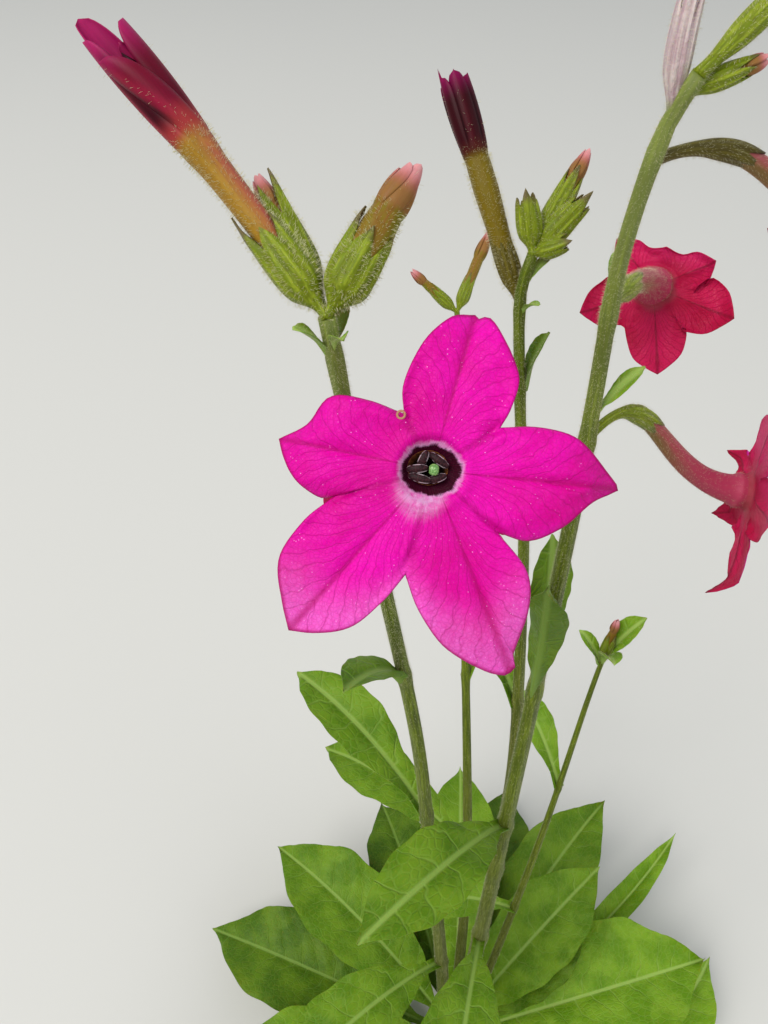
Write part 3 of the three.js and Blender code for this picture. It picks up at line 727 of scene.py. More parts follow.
# %% Grow the leaves
def leaf_skin_of(spec, seed, rows, halves):
    """A closed skin round the midrib: across the underside, then back over the top."""
    rng = np.random.default_rng(seed)
    phase = rng.uniform(0, 2 * np.pi, 4)
    foot = np.array([0, 0, spec.height]) if spec.on == "crown" else stem_point(spec.on, spec.height)
    points = midrib(spec, foot)
    share = np.linspace(0, 1, rows)[:, None]
    share = share + 0.02 * np.sin(2 * np.pi * share)
    spread = np.sin(np.linspace(-1, 1, 2 * halves + 1) * np.pi / 2)[None, :]
    azimuth = spec.azimuth + spec.sweep * share
    climb = spec.rise + (spec.fall - spec.rise) * share
    sideways, upwards = heading(azimuth + 90, 0), heading(azimuth, climb + 90)
    base = places_on(points, np.linspace(0, 1, len(points)), share)
    on_blade = ease(share, PETIOLE_SHARE * 0.8, 0.34)
    lobing = 1 + 0.025 * np.sin(2 * np.pi * 7 * share + phase[0]) * np.sign(spread) * on_blade
    reach = half_width(share, spec.width) * spread * lobing
    off = np.abs(reach)
    along = share * spec.length
    vein = (along - VEIN_SLANT * off - VEIN_BOW * off**2) / VEIN_SPACING + VEIN_STAGGER * (reach > 0)
    quilt = np.sin(np.pi * (vein % 1)) ** 0.7 * ease(off, 1.0, 6.0) * ease(spec.width / 2 - off, 0.0, 6.0)
    wave = np.sin(2 * np.pi * along / 46 + phase[1] + np.where(spread > 0, phase[2], 0))
    sweep_up = np.sin(2 * np.pi * 1.3 * share + phase[3]) * 0.5
    margin = spec.ripple * (wave + sweep_up) * np.abs(spread) ** 2.5 * on_blade
    relief = 0.028 * min(spec.width, 50) * (quilt - 0.5) * on_blade + margin
    channel = 0.9 * np.exp(-((off / 2.2) ** 2)) * (1 - 0.5 * share)
    fold = math.radians(spec.fold)
    lift = off * math.sin(fold) + relief - channel
    stalk = petiole_width(spec.width) / 2
    stalk_rib = 0.75 * stalk * (1 - ease(share, 0.05, 0.5)) + 0.5 * (1 - share)
    rib = stalk_rib * np.exp(-((off / (0.8 * stalk)) ** 2))
    vein_rib = 0.35 * (1 - np.sin(np.pi * (vein % 1)) ** 0.5) * on_blade * ease(off, 0.5, 4)
    thick = BLADE * (1 - 0.55 * np.abs(spread) ** 4) * min(1, spec.width / 20 + 0.3)
    flat = reach * math.cos(fold)

    def face(height):
        return base + sideways * flat[..., None] + upwards * height[..., None]

    rest = np.stack([along + 0 * reach, reach, 0 * reach], axis=-1)
    top, bottom = face(lift + thick / 2), face(lift - thick / 2 - rib - vein_rib)
    return sheet(top, bottom, rest=rest, tone=np.full(reach.shape, spec.tone))


leaf_skins = {}
for number, (name, spec) in enumerate(LEAVES.items()):
    rows, halves = (72, 15) if spec.on == "crown" else (44, 9)
    leaf_skins[name] = leaf_skin_of(spec, 100 + number, rows, halves)
    make_piece(f"{name}_blade", leaf_skins[name], [leaf_skin], [name])
print("leaves", len(leaf_skins), "triangles", sum(triangle_count[f"{n}_blade"] for n in leaf_skins))

# %% [markdown]
# ## Calyx and tube finishes
# A calyx is a hairy yellow-green cup whose five pointed teeth turn purplish grey. A corolla tube
# starts pale yellow-green inside it and blushes rose on the side that faces the light. Flowers and
# buds share the function that colours it.

# %% Finish the calyces
calyx_skin, tree, shader = material("calyx_skin", roughness=0.5, specular=0.18, sheen=0.02, subsurface=0.1)
_, tones, lines = living(tree)
cup_green = blend(lines["Lines"], screen(104, 120, 4), screen(140, 154, 34))
cup_green = blend(step_up(tones["Fine"], 0.5, 0.72, 0.5), cup_green, screen(88, 90, 12))
purple = step_up(read(tree, "along") + tones["Fine"] * 0.2, 0.9, 1.12, 0.8)
cup_green = blend(purple, cup_green, screen(96, 72, 62))
# Painted shade: the calyx darkens in its pleats' valleys.
cup_green = blend(read(tree, "fold") * 0.35, cup_green, screen(70, 74, 8))
paint(shader, cup_green, lines["Height"] + tones["Fine"], 0.0002, 0.6)

dark_calyx_skin, tree, shader = material("dark_calyx_skin", roughness=0.5, specular=0.18)
_, tones, lines = living(tree)
olive = blend(lines["Lines"], screen(74, 64, 6), screen(98, 88, 14))
olive = blend(step_up(read(tree, "along"), 0.8, 1.05, 0.9), olive, screen(44, 26, 24))
paint(shader, olive, lines["Height"] + tones["Fine"], 0.0002, 0.6)


def tube_colours(tree, pale, rose, neck, low, high):
    """A corolla tube's colour from its foot to its neck, with a rose side, and its two effects."""
    _, tones, lines = living(tree)
    blushed = step_up(read(tree, "blush"), 0.3, 0.85) * (lines["Lines"] * 0.45 + 0.55)
    colour = blend(lines["Lines"] * 0.35, pale, screen(150, 112, 52))
    colour = blend(blushed, colour, rose)
    return blend(step_up(read(tree, "along"), low, high), colour, neck), tones, lines


print("finishes", len(bpy.data.materials))

# %% [markdown]
# ## Cups
# A calyx, a bud's tube and the core of its head are the same kind of thing: a pleated tube along a
# path. A calyx also has a wall and a rim that rises into five teeth. One function makes them all,
# from an outline of (distance, radius) pairs and a list of teeth.

# %% Make cups
TOOTH_SHARPNESS = 0.9  # at 1 a tooth's sides are straight
Tooth = namedtuple("Tooth", "angle length half_angle lean")  # lean is how far its tip stands outwards


def cup_skin(path, outline, teeth, wall, floor, reach, sides, rows, pleats=5, pleat=0.0, blush=0.0):
    """A pleated tube along the path with a toothed rim, and an inner wall down to its floor.

    Values on its points: along (the distance as a share of reach), fold (1 in a pleat's valley),
    inside (1 on the inner wall), blush (1 on the rose side) and bare (1 where no hairs grow)."""
    profile = spline(outline, rows - 1)
    angle = round_angles(sides)
    begin, end = profile[0, 0], profile[-1, 0]
    share = ((profile[:, 0] - begin) / (end - begin))[:, None]
    rise, lean = np.zeros_like(angle), np.zeros_like(angle)
    for tooth in teeth:
        away = np.degrees(np.abs((angle - np.radians(tooth.angle) + np.pi) % (2 * np.pi) - np.pi))
        shape = np.clip(1 - away / tooth.half_angle, 0, 1) ** TOOTH_SHARPNESS
        rise = np.maximum(rise, tooth.length * shape)
        lean = lean + tooth.lean * shape
    stretch = ease(share, 0.5, 1.0)
    distance = profile[:, :1] + stretch * rise
    valley = 0.5 - 0.5 * np.cos(pleats * angle)
    radius = profile[:, 1:] * (1 - pleat * ease(share, 0.25, 0.75) * valley) + lean * stretch**2
    keep = profile[:, 0] >= floor
    inner = around(np.maximum(radius - wall, 0.05), angle, distance)[keep][::-1]
    straight = np.concatenate([around(radius, angle, distance), inner])

    def both(value):
        full = value + 0 * radius
        return np.concatenate([full, full[keep][::-1]])

    inside = np.concatenate([np.zeros((rows, sides)), np.ones((len(inner), sides))])
    facing = 0.5 + 0.5 * np.cos(angle - math.radians(blush))
    return loft(
        path.bent(straight), rest=straight, along=both(distance / reach), fold=both(valley),
        inside=inside, blush=both(facing), bare=both(0),
    )

# %% [markdown]
# ## Furled petals
# A bud's head is its five lobes wrapped round each other, one edge of each tucked under the next.
# A pleated tube alone looks like a closed umbrella with no way in, so each petal is its own thin
# sheet: it starts on the neck, wraps most of the way round, swells, and comes to a tip that may
# lean out. The step from edge to edge makes the deep folds, and painted shade along each tucked edge
# makes them dark.

# %% Make furled petals
# A furl's length is a share of what is left of the bud, out is how far its tip stands from the middle
# line, half is the angle that each half of it wraps, and dark is how strong the painted shade along
# its tucked edge is, its sign saying which edge.
FURL_WALL = 0.35  # thickness
Furl = namedtuple(
    "Furl", "angle length out half spiral bulge pinch blunt twist nib dark",
    defaults=(64.0, 0.28, 1.3, 0.1, 2.4, 25.0, 0.0, 1.0),
)


def even_furls(out=0.9, turn=0.0, reach=1.0, **more):
    lengths = (1.0, 0.93, 0.97, 0.9, 0.95)
    return [Furl(turn + 72 * k, length * reach, out, **more) for k, length in enumerate(lengths)]


def furled_petal(path, start, base, spec, blush, rows, columns):
    """One petal of a head, from the neck, whose radius is base, to its tip."""
    s = np.linspace(0, 1, rows)[:, None]
    t = np.linspace(-1, 1, columns)[None, :]
    width = np.maximum(1 - s**spec.blunt, 0) ** 0.5
    angle = np.radians(spec.angle + spec.twist * s + spec.half * t * width)
    middle = (1 - s) ** 2 * 0.84 * base + 2 * s * (1 - s) * spec.bulge * base + s**2 * spec.out
    tuck = ease(s, 0.0, 0.3) * width
    radius = middle * (1 + tuck * (spec.spiral * t - spec.pinch * t**2))
    distance = start + spec.length * (path.length - start) * s + spec.nib * s**4 * np.exp(-((t / 0.3) ** 2))
    thick = 0.02 + FURL_WALL * ease(s, 0.0, 0.15) * (1 - 0.4 * s)

    def face(offset):
        return around(np.maximum(radius + offset, 0.04), angle, distance)

    facing = 0.5 + 0.5 * np.cos(angle - math.radians(blush))
    # Painted shade: a dark band along the petal's tucked edge, given to the finish as its fold value.
    dark = ease(-np.sign(spec.dark) * t, 0.04, 0.4) * tuck * abs(spec.dark) * (1 - 0.5 * s)
    bare = 1 - np.exp(-((t / 0.22) ** 2)) * (1 - 0.5 * s)
    skin = sheet(
        path.bent(face(-thick / 2)), path.bent(face(thick / 2)), rest=face(0 * thick),
        along=distance / path.length, fold=dark, blush=facing, bare=bare,
    )
    skin.values["inside"] = 1 - skin.values["under"]
    return skin

# %% [markdown]
# ## Petal finishes
# The open star is the brightest thing on the plant: magenta with a faint sheen and a painted pale
# sheen on the tips of the lower lobes, a slightly deeper line down each lobe with painted shade in its
# crease, painted shade along the seams, fine veins that fan out of the throat, tiny painted glints and
# a whitish bloom round a dark maroon eye. The backs of the petals are duller crimson, with a painted
# sheen on the upper lobes. All of it is drawn from the point's place on the flat flower (`rest`) and
# on its lobe (`fan`).

# %% Finish the petals
petal_front, tree, shader = material("petal_front", roughness=0.5, specular=0.08, sheen=0.02, subsurface=0.06)
shader.inputs["Sheen Tint"].default_value = screen(255, 190, 240)
place, fan = read(tree, "rest", "Vector"), read(tree, "fan", "Vector")
lines, tones = use(petal_veins, Fan=fan, Place=place), use(mottle, Place=place)
grain = tones["Fine"]
upward, leftward, _ = parts_of(place)
outward, lobe_share, _ = parts_of(fan)
radius = ((upward * 1.15) ** 2.0 + leftward**2.0) ** 0.5  # the eye is wider than it is high
radius = radius + (noise(place, 0.6, 3.0) - 0.5) * 1.7

magenta = blend(step_up(tones["Broad"], 0.3, 0.7), screen(198, 0, 128), screen(222, 6, 164))
magenta = blend(step_up(grain, 0.45, 0.75, 0.16), magenta, screen(226, 50, 176))
# Painted sheen: a pale pink on the tips of the lower lobes, where light glances off them.
painted_tip_sheen = step_up(lobe_share, 0.5, 0.95) * step_up(upward * -1.0, 12.0, 26.0)
magenta = blend(painted_tip_sheen * (grain * 0.5 + 0.15), magenta, screen(236, 128, 216))
magenta = blend(lines["Net"] * 0.22, magenta, screen(158, 0, 100))
magenta = blend(lines["Veins"] * 0.36, magenta, screen(140, 0, 84))
# The darker midline is partly the midrib's own deeper colour and partly painted shade in the crease.
magenta = blend(lines["Crease"] * 0.55, magenta, screen(152, 0, 84))
# Painted shade along the seams: darker magenta in the sunken lines from the eye out towards the notches.
between = (1 - step_up(lobe_share, 0.5, 1.0)) * step_up(outward, 0.8, 1.0, 0.45)
magenta = blend(between, magenta, screen(150, 0, 92))
# Painted glints: tiny pale sparkling dots, where light catches on the petal's cells.
painted_glints = (1 - step_up(cells(place, 1.3, "F1"), 0.05, 0.15)) * step_up(noise(place, 0.3, 3.0), 0.46, 0.66, 0.75)
magenta = blend(painted_glints, magenta, screen(244, 186, 228))

ragged = noise(stretched(fan, (22.0, 1.5, 1.0)), 1.0, 3.0, 0.7)
ring = 1 - step_up(radius - ragged * 1.6, 4.4, 5.3)
downward = upward * -0.9 + leftward * 0.36
off_patch = abs(upward * 0.36 + leftward * 0.9)
patch = step_up(downward, 2.2, 4.2) * (1 - step_up(off_patch * 0.6 + downward - ragged * 4.2, 3.2, 8.4))
patch = patch * (1 - step_up(off_patch - ragged * 2.0, 1.6, 4.4))
patch = patch * maths("SUBTRACT", grain * 2.6, 0.5, clamp=True)
bloom = maths("MAXIMUM", ring * (grain * 1.2 + 0.05), patch * 0.8)
magenta = blend(bloom, magenta, screen(214, 164, 204))
eye = 1 - step_up(ragged * 1.1 + radius, 5.3, 5.9)
magenta = blend(eye, magenta, blend(step_up(ragged, 0.4, 0.65), screen(30, 0, 12), screen(74, 2, 34)))
magenta = blend(step_up(lobe_share, 0.965, 0.995, 0.7), magenta, screen(150, 6, 82))
paint(shader, magenta, grain * 0.6 + lines["Height"], 0.00016, 0.45)
feed(shader.inputs["Roughness"], grain * 0.3 + 0.3)

petal_back, tree, shader = material("petal_back", roughness=0.45, specular=0.16, sheen=0.04, subsurface=0.08)
shader.inputs["Sheen Tint"].default_value = screen(255, 170, 205)
place, fan = read(tree, "rest", "Vector"), read(tree, "fan", "Vector")
lines, tones = use(petal_veins, Fan=fan, Place=place), use(mottle, Place=place)
crimson = blend(step_up(tones["Broad"], 0.3, 0.7), screen(162, 2, 50), screen(204, 20, 84))
# Painted sheen: the upper lobes are lighter pink where the light from above falls on them, broken up by a
# fine mottle.
crimson = blend(step_up(parts_of(place)[0], 4.0, 16.0) * tones["Fine"], crimson, screen(220, 44, 124))
crimson = blend(lines["Veins"] * 0.4, crimson, screen(122, 4, 36))
# The darker midline is partly the midrib's own deeper colour and partly painted shade in the crease.
crimson = blend(lines["Crease"] * 0.6, crimson, screen(112, 4, 34))
near_tube = 1 - step_up(parts_of(fan)[1], 0.0, 0.16)
crimson = blend(near_tube * 0.6, crimson, screen(160, 78, 84))
paint(shader, crimson, lines["Height"], 0.00025, 0.6)

tube_skin, tree, shader = material("tube_skin", roughness=0.5, specular=0.2, sheen=0.02, subsurface=0.08)
colour, _, lines = tube_colours(
    tree, screen(118, 90, 40), screen(170, 68, 86), screen(170, 56, 86), low=0.2, high=0.85,
)
paint(shader, colour, lines["Height"], 0.00015, 0.5)

throat_skin, tree, shader = material("throat_skin", roughness=0.6)
place, _, lines = living(tree)
brown = blend(lines["Lines"], screen(136, 70, 36), screen(196, 124, 66))
# Painted shade: the throat's wall turns dark brown deeper down, where little light reaches.
brown = blend(step_up(parts_of(place)[2], -8.0, -2.5), screen(60, 28, 18), brown)
paint(shader, brown, lines["Height"], 0.0003, 0.6)
print("finishes", len(bpy.data.materials), "petal front", len(petal_front.node_tree.nodes), "nodes")

# %% [markdown]
# ## Open flowers
# A flower is one closed skin: up the outside of the tube, out along the back of the five lobes, over
# the rim, in along their face and down into the throat. Its columns run from the throat to the
# outline, so each lobe's midline and each notch is a line of the mesh, and the crease, the swollen
# halves and the curled tips are added along those lines. A lobe is given by its tip and by the
# widest points of its two sides. `alike` makes those for a flower seen only from the side.

# %% Shape the lobes
MOUTH = 3.5  # radius of the opening
EYE = 5.3  # radius where the limb starts to turn down into it
PETAL = 0.32  # thickness
THROAT_SHIFT = np.array([0.4, 0.6])  # how far the opening lies up and to one side in the eye
THROAT_SQUAT = 0.14  # how much lower than wide the opening is
DROOP = 0.0022  # how far the limb bends back for each step outwards, squared
OUTLINE_STEPS = 80

# A lobe's sides are (along, across) points from the bay towards the tip, and its bay is the (angle,
# radius) of the one after it.
Lobe = namedtuple("Lobe", "angle length clockwise anticlockwise bay")
FRONT_LOBES = [
    Lobe(-16.3, 28.3, [(13.7, 10.1), (19.3, 9.9), (24.8, 5.7), (28, 2.4), (27.5, 1.1)],
         [(12.8, 8.5), (20.3, 7.3), (26, 3.9)], (25.2, 10.8)),
    Lobe(77.4, 27.5, [(13.2, 9.5), (19.5, 8.7), (22.7, 3.5)],
         [(18.1, 8.6), (22.3, 6.7), (25.6, 3.3)], (104.5, 17.5)),
    Lobe(137.7, 37.8, [(21.3, 10.7), (28.9, 9.7), (34.1, 4.7)],
         [(22.4, 8.8), (29.3, 7.8), (34.5, 4)], (165.6, 18.6)),
    Lobe(201.2, 38, [(21.3, 10.9), (29.2, 9.1), (35.5, 4.6), (37.9, 1.5)],
         [(22.1, 8.8), (28.3, 6.8), (33.3, 2.9), (35.2, 1.4), (37.2, 1.1)], (226.5, 15.8)),
    Lobe(263.6, 33.2, [(17.9, 10.4), (23, 7.7), (27.8, 3), (31.4, 1)],
         [(17.1, 9.1), (23.6, 8), (29.5, 3.6), (32.4, 1.3)], (301.1, 13.8)),
]


def alike(angles, tips, bays):
    """Lobes of one even shape, of these lengths and directions."""
    made = []
    for k, (angle, tip, bay) in enumerate(zip(angles, tips, bays)):
        after = angles[(k + 1) % 5] + (360 if k == 4 else 0)
        side = [(0.56 * tip, 0.33 * tip), (0.78 * tip, 0.27 * tip), (0.92 * tip, 0.12 * tip)]
        made.append(Lobe(angle, tip, side, side, ((angle + after) / 2, bay)))
    return made


EVEN_LOBES = alike([0, 72, 144, 216, 288], [28] * 5, [14] * 5)
BACK_LOBES = alike([28, 72, 131, 209, 280], [18, 25, 26, 22, 17.5], [12.5, 15, 14, 13, 11.5])
SIDE_LOBES = alike([0, 66, 137, 205, 275], [29, 29, 33, 21, 17], [14, 14, 14, 12, 11.5])
print("tips of the front flower", [one.length for one in FRONT_LOBES])

# %% [markdown]
# Every column of the mesh ends at a point of the outline. The points lie at even distances along each
# side of a lobe, and a side is a smooth curve from the notch, through its widest points, to the tip.

# %% Lay out the columns
def spaced(points, count):
    """count + 1 points at even distances along a line of points."""
    steps = np.linalg.norm(np.diff(points, axis=0), axis=1)
    along = np.concatenate([[0], np.cumsum(steps)])
    return places_on(points, along, np.linspace(0, along[-1], count + 1))


def limb_columns(lobes, halves):
    """For each column: its angle at the throat, its outline point's angle and radius, its share of the
    half lobe (0 on the midline, 1 at a bay) and its lobe's axis."""
    throat, angle, radius, outward, axis = [], [], [], [], []
    for k, one in enumerate(lobes):
        before_angle, before_radius = lobes[k - 1].bay
        before_angle -= 360 if k == 0 else 0
        after_angle, after_radius = one.bay
        axis_angle = math.radians(one.angle)
        ahead, across = heading(one.angle, 0)[:2], heading(one.angle + 90, 0)[:2]

        def placed(bay_angle, bay_radius, side, sign):
            inner = [along * ahead + sign * wide * across for along, wide in side]
            bay = bay_radius * heading(bay_angle, 0)[:2]
            return spaced(spline([bay, *inner, one.length * ahead], OUTLINE_STEPS), halves)

        rising = placed(before_angle, before_radius, one.clockwise, -1)
        falling = placed(after_angle, after_radius, one.anticlockwise, 1)[::-1]
        points = np.vstack([rising, falling[1:-1]])
        local = np.arctan2(points[:, 1], points[:, 0])
        local = axis_angle + (local - axis_angle + np.pi) % (2 * np.pi) - np.pi
        ramp = np.linspace(0, 1, halves + 1)
        up = math.radians(before_angle) + (axis_angle - math.radians(before_angle)) * ramp
        down = axis_angle + (math.radians(after_angle) - axis_angle) * ramp
        throat.append(np.concatenate([up, down[1:-1]]))
        angle.append(local)
        radius.append(np.hypot(points[:, 0], points[:, 1]))
        outward.append(np.concatenate([1 - ramp, ramp[1:-1]]))
        axis.append(np.full(2 * halves, axis_angle))
    return [np.concatenate(part) for part in (throat, angle, radius, outward, axis)]

# %% [markdown]
# The flowers hang from the stems on paths that leave the stem one way and face another, like their
# solids. The tube widens slowly, bulges under the limb and narrows into the throat.

# %% List the flowers
CALYX_LENGTH = 20
CALYX_RADIUS = 3.7
CALYX_WALL = 0.35
CUP_FLOOR = 0.3  # where the tube starts in its calyx, as a share of it
PEDICEL_SHARE = 0.16
PEDICEL_RADIUS = 1.2

# leave is an azimuth and an elevation, halves the number of columns on half a lobe, and calyx its
# radius.
Flower = namedtuple(
    "Flower", "stem height leave centre face lobes spin halves calyx calyx_finish",
    defaults=(EVEN_LOBES, 0, 9, CALYX_RADIUS, calyx_skin),
)
FLOWERS = {
    "front": Flower("stem_left", 598, (-75, 50), (-47, -43, 663), (-8, -97, 87), FRONT_LOBES, 3.5, 22),
    "right_high": Flower(
        "stem_right", 694, (37, 4), (64, 42, 659), (80, 26, -50), BACK_LOBES, 184, 9, 2.7, dark_calyx_skin,
    ),
    "right_back": Flower(
        "stem_right", 662, (64, -12), (25.5, 70, 635), (40, 72, -54), BACK_LOBES, 26, 12, 3.2,
    ),
    "right_low": Flower("stem_right", 626, (38, 36), (57, 31, 588), (96, -20, 10), SIDE_LOBES, 0, 12, 3.1),
    "back_left": Flower("stem_back", 445, (190, 50), (-80, 208, 418), (-80, 30, -38)),
    "back_right": Flower("stem_back", 410, (60, 45), (12, 228, 372), (30, 80, -42)),
}


def flower_path(spec):
    foot = stem_point(spec.stem, spec.height)
    centre, facing = np.array(spec.centre, float), unit(spec.face)
    reach = np.linalg.norm(centre - foot) / 2.6
    return Path(bezier(foot, foot + heading(*spec.leave) * reach, centre - facing * reach, centre), UP)


flower_paths = {name: flower_path(spec) for name, spec in FLOWERS.items()}
print("flower lengths", {name: round(path.length) for name, path in flower_paths.items()})

# %% [markdown]
# A real limb is far from flat. Its height is a sum of small things, each with a name: the dip to the
# mouth and the collar round it, the crease on the midline and the swollen halves beside it, the tips
# that curl back, and a slow sway. The mouth itself lies a little aside and is wider than it is high.

# %% Shape the limb
def limb_height(radius, share, outward, off_axis, turn, ragged):
    """How far the limb's face stands before the plane of its middle; off_axis is signed."""
    beside = np.abs(off_axis)
    flat = -DROOP * radius**2
    mouth = -2.0 * (1 - ease(radius, MOUTH - 0.3, EYE + 1.0))
    collar = 0.35 * np.exp(-(((radius - 6.6) / 1.0) ** 2))
    crease = -0.75 * np.exp(-((beside / 0.8) ** 2)) * ease(share, 0.1, 0.35) * (1 - 0.45 * share)
    halves = 0.7 * np.sin(np.pi * np.clip(outward, 0, 1) ** 0.8) * ease(share, 0.12, 0.75)
    seam = -0.9 * np.exp(-(((1 - outward) / 0.14) ** 2)) * ease(share, 0.4, 1)
    curl = -2.2 * ease(share, 0.78, 1.0) * np.exp(-((outward / 0.28) ** 2))
    tilt = 0.055 * off_axis * np.sin(3 * turn + 1.0) * ease(share, 0.2, 0.9)
    sway = 0.55 * np.sin(2.6 * np.pi * share + 2 * turn) * share**2
    side_veins = 0.1 * np.sin(26 * outward - 9 * share + turn) * ease(share, 0.15, 0.5)
    rim = 0.45 * np.sin(3.1 * np.pi * outward + 2.2 * turn) * share**4 - 0.45 * ease(share, 0.93, 1)
    puckers = 0.07 * ragged * ease(share, 0.2, 0.6)
    return flat + mouth + collar + crease + halves + seam + curl + tilt + sway + side_veins + rim + puckers


def in_the_eye(rings, nearer):
    """Rings of the throat, pushed aside and made squat by how near they are to its mouth."""
    nearer = nearer[..., None]
    flat = rings[..., :2] * (1 - nearer * [THROAT_SQUAT, 0]) + THROAT_SHIFT * nearer
    return np.concatenate([flat, rings[..., 2:]], axis=-1)

# %% [markdown]
# The parts are put together in the order in which the skin runs: tube, back, front, lip and funnel.
# Each has its own finish, but for the lip, which has the front's. The calyx is a cup round the foot
# of the tube.

# %% Grow the open flowers
def corolla_skin_of(spec, path):
    throat, angle, radius, outward, axis = limb_columns(spec.lobes, spec.halves)
    detail = spec.halves / 16
    cup = PEDICEL_SHARE * path.length
    foot, end = cup + CUP_FLOOR * CALYX_LENGTH + 0.3, path.length
    mid = foot + 0.74 * (end - foot)
    tube = spline([
        (foot, 0.5 * spec.calyx), (cup + 0.7 * CALYX_LENGTH, 0.68 * spec.calyx),
        (0.4 * cup + 0.4 * CALYX_LENGTH + 0.6 * mid, 3.0), (mid, 3.5),
        (end - 7, 4.5), (end - 4.2, 5.5), (end - 2.2, 5.3),
    ], int(34 * detail) + 14)
    spin = math.radians(spec.spin)
    turned = throat + spin

    def face(radii, turn, share):
        ragged = np.sin(1.9 * radii * np.cos(turn)) * np.sin(2.3 * radii * np.sin(turn) + 1.0)
        off_axis = radii * np.sin(turn - axis)
        return end + limb_height(radii, share, outward[None, :], off_axis, axis[None, :], ragged)

    groove = 1 - 0.05 * outward[None, :] ** 2 * ease(tube[:, :1], foot + 8, mid)
    outer = around(tube[:, 1:] * groove, turned, tube[:, :1])
    share = np.linspace(0, 1, int(34 * detail) + 12)[:, None] ** 1.15
    turn = throat + (angle - throat) * ease(share, 0.0, 0.9)
    radii = EYE + (radius[None, :] - EYE) * share
    height = face(radii, turn, share)
    thick = PETAL * (1 - 0.5 * share) + 0.5 * (1 - ease(share, 0, 0.2))
    back = around(radii, turn + spin, height - thick)[1:]
    front = around(radii, turn + spin, height)[::-1]
    radii = np.linspace(EYE, MOUTH, 8)[1:, None] + 0 * throat
    lip = in_the_eye(
        around(radii, turned, face(radii, throat[None, :], 0 * radii)), (EYE - radii) / (EYE - MOUTH),
    )
    funnel_points = spline([(end - 2.5, 3.35), (end - 5, 3.1), (end - 10, 2.5), (end - 16, 2.0)], 14)
    funnel = around(funnel_points[:, 1:], turned, funnel_points[:, :1])
    funnel = in_the_eye(funnel, ease(funnel[..., 2], end - 14, end - 2.4))
    parts = [outer, back, front, lip, funnel]
    straight = np.concatenate(parts)
    finishes = np.concatenate([np.full(len(part), k) for part, k in zip(parts, (0, 1, 2, 2, 3))])[1:]
    inner = np.zeros(len(lip) + len(funnel))
    lobe_share = np.concatenate([np.zeros(len(outer)), share[1:, 0], share[::-1, 0], inner])[:, None]
    fan = np.stack(np.broadcast_arrays(outward, lobe_share, 0), axis=-1)
    up = (straight[..., 2] - foot) / (end - foot)
    flat = straight - np.array([0, 0, end])
    facing = 0.5 + 0.5 * np.cos(np.arctan2(straight[..., 1], straight[..., 0]))
    skin = loft(path.bent(straight), finishes, rest=flat, fan=fan, along=up, blush=facing)
    skin.tube_points = len(outer) * len(throat)
    return skin


corolla_skins, calyx_skins = {}, {}
for name, spec in FLOWERS.items():
    path = flower_paths[name]
    corolla_skins[name] = corolla_skin_of(spec, path)
    finishes = [tube_skin, petal_back, petal_front, throat_skin]
    make_piece(f"corolla_{name}_petals", corolla_skins[name], finishes, [f"corolla_{name}"])
    start = PEDICEL_SHARE * path.length
    outline = [
        (-0.5, 1.3), (0.5 * start, PEDICEL_RADIUS), (start, PEDICEL_RADIUS + 0.3),
        (start + 0.26 * CALYX_LENGTH, spec.calyx - 0.5), (start + 0.45 * CALYX_LENGTH, spec.calyx - 0.4),
        (start + 0.6 * CALYX_LENGTH, spec.calyx - 0.6),
    ]
    teeth = [Tooth(72 * k + 20, 8.5 + 2 * math.sin(3 * k), 43, 0.1 + 0.6 * math.cos(2 * k)) for k in range(5)]
    calyx_skins[name] = cup_skin(
        path, outline, teeth, wall=CALYX_WALL, floor=start + 0.4 * CALYX_LENGTH,
        reach=start + CALYX_LENGTH, sides=60, rows=44, pleats=10, pleat=0.07,
    )
    make_piece(f"calyx_{name}_cup", calyx_skins[name], [spec.calyx_finish], [f"calyx_{name}"])
print("flowers", {n: triangle_count[f"corolla_{n}_petals"] for n in FLOWERS})

# %% [markdown]
# ## Stamens and stigma
# Five dark anthers and a green, sticky stigma fill the mouth of the tube. They are small, but they
# are at the very middle of the picture. An anther is two swollen pouches side by side, split by a
# pale seam, so its skin is a bean with a groove. Their places are (right, up, forward) from the
# throat's middle, with the direction they point in.

# %% Fill the throats
anther_skin, tree, shader = material("anther_skin", roughness=0.5, specular=0.15)
place = read(tree, "rest", "Vector")
grain = use(mottle, Place=place)["Fine"]
brown = blend(step_up(grain, 0.4, 0.7), screen(28, 6, 12), screen(66, 28, 34))
seam = step_up(read(tree, "fold"), 0.3, 0.52, 0.9) * step_up(noise(place, 0.35, 2.0), 0.42, 0.6)
paint(shader, blend(seam, brown, screen(196, 176, 184)), grain, 0.0001, 0.6)

stigma_skin, tree, shader = material("stigma_skin", roughness=0.25, subsurface=0.1)
wet = use(mottle, Place=read(tree, "rest", "Vector"))["Fine"]
paint(shader, blend(step_up(wet, 0.4, 0.7), screen(84, 132, 62), screen(150, 186, 110)), wet, 0.00015, 0.7)

# Each anther is a place, a turn in degrees and a length.
ANTHERS = [
    ((-1.5, 1.75, -0.9), 66, 3.4),
    ((-2.35, 0.15, -0.5), 6, 3.9),
    ((-1.9, -1.45, -0.6), -12, 4.2),
    ((1.2, 1.75, -0.8), -34, 4.2),
    ((1.0, -1.35, -0.8), 20, 3.6),
]


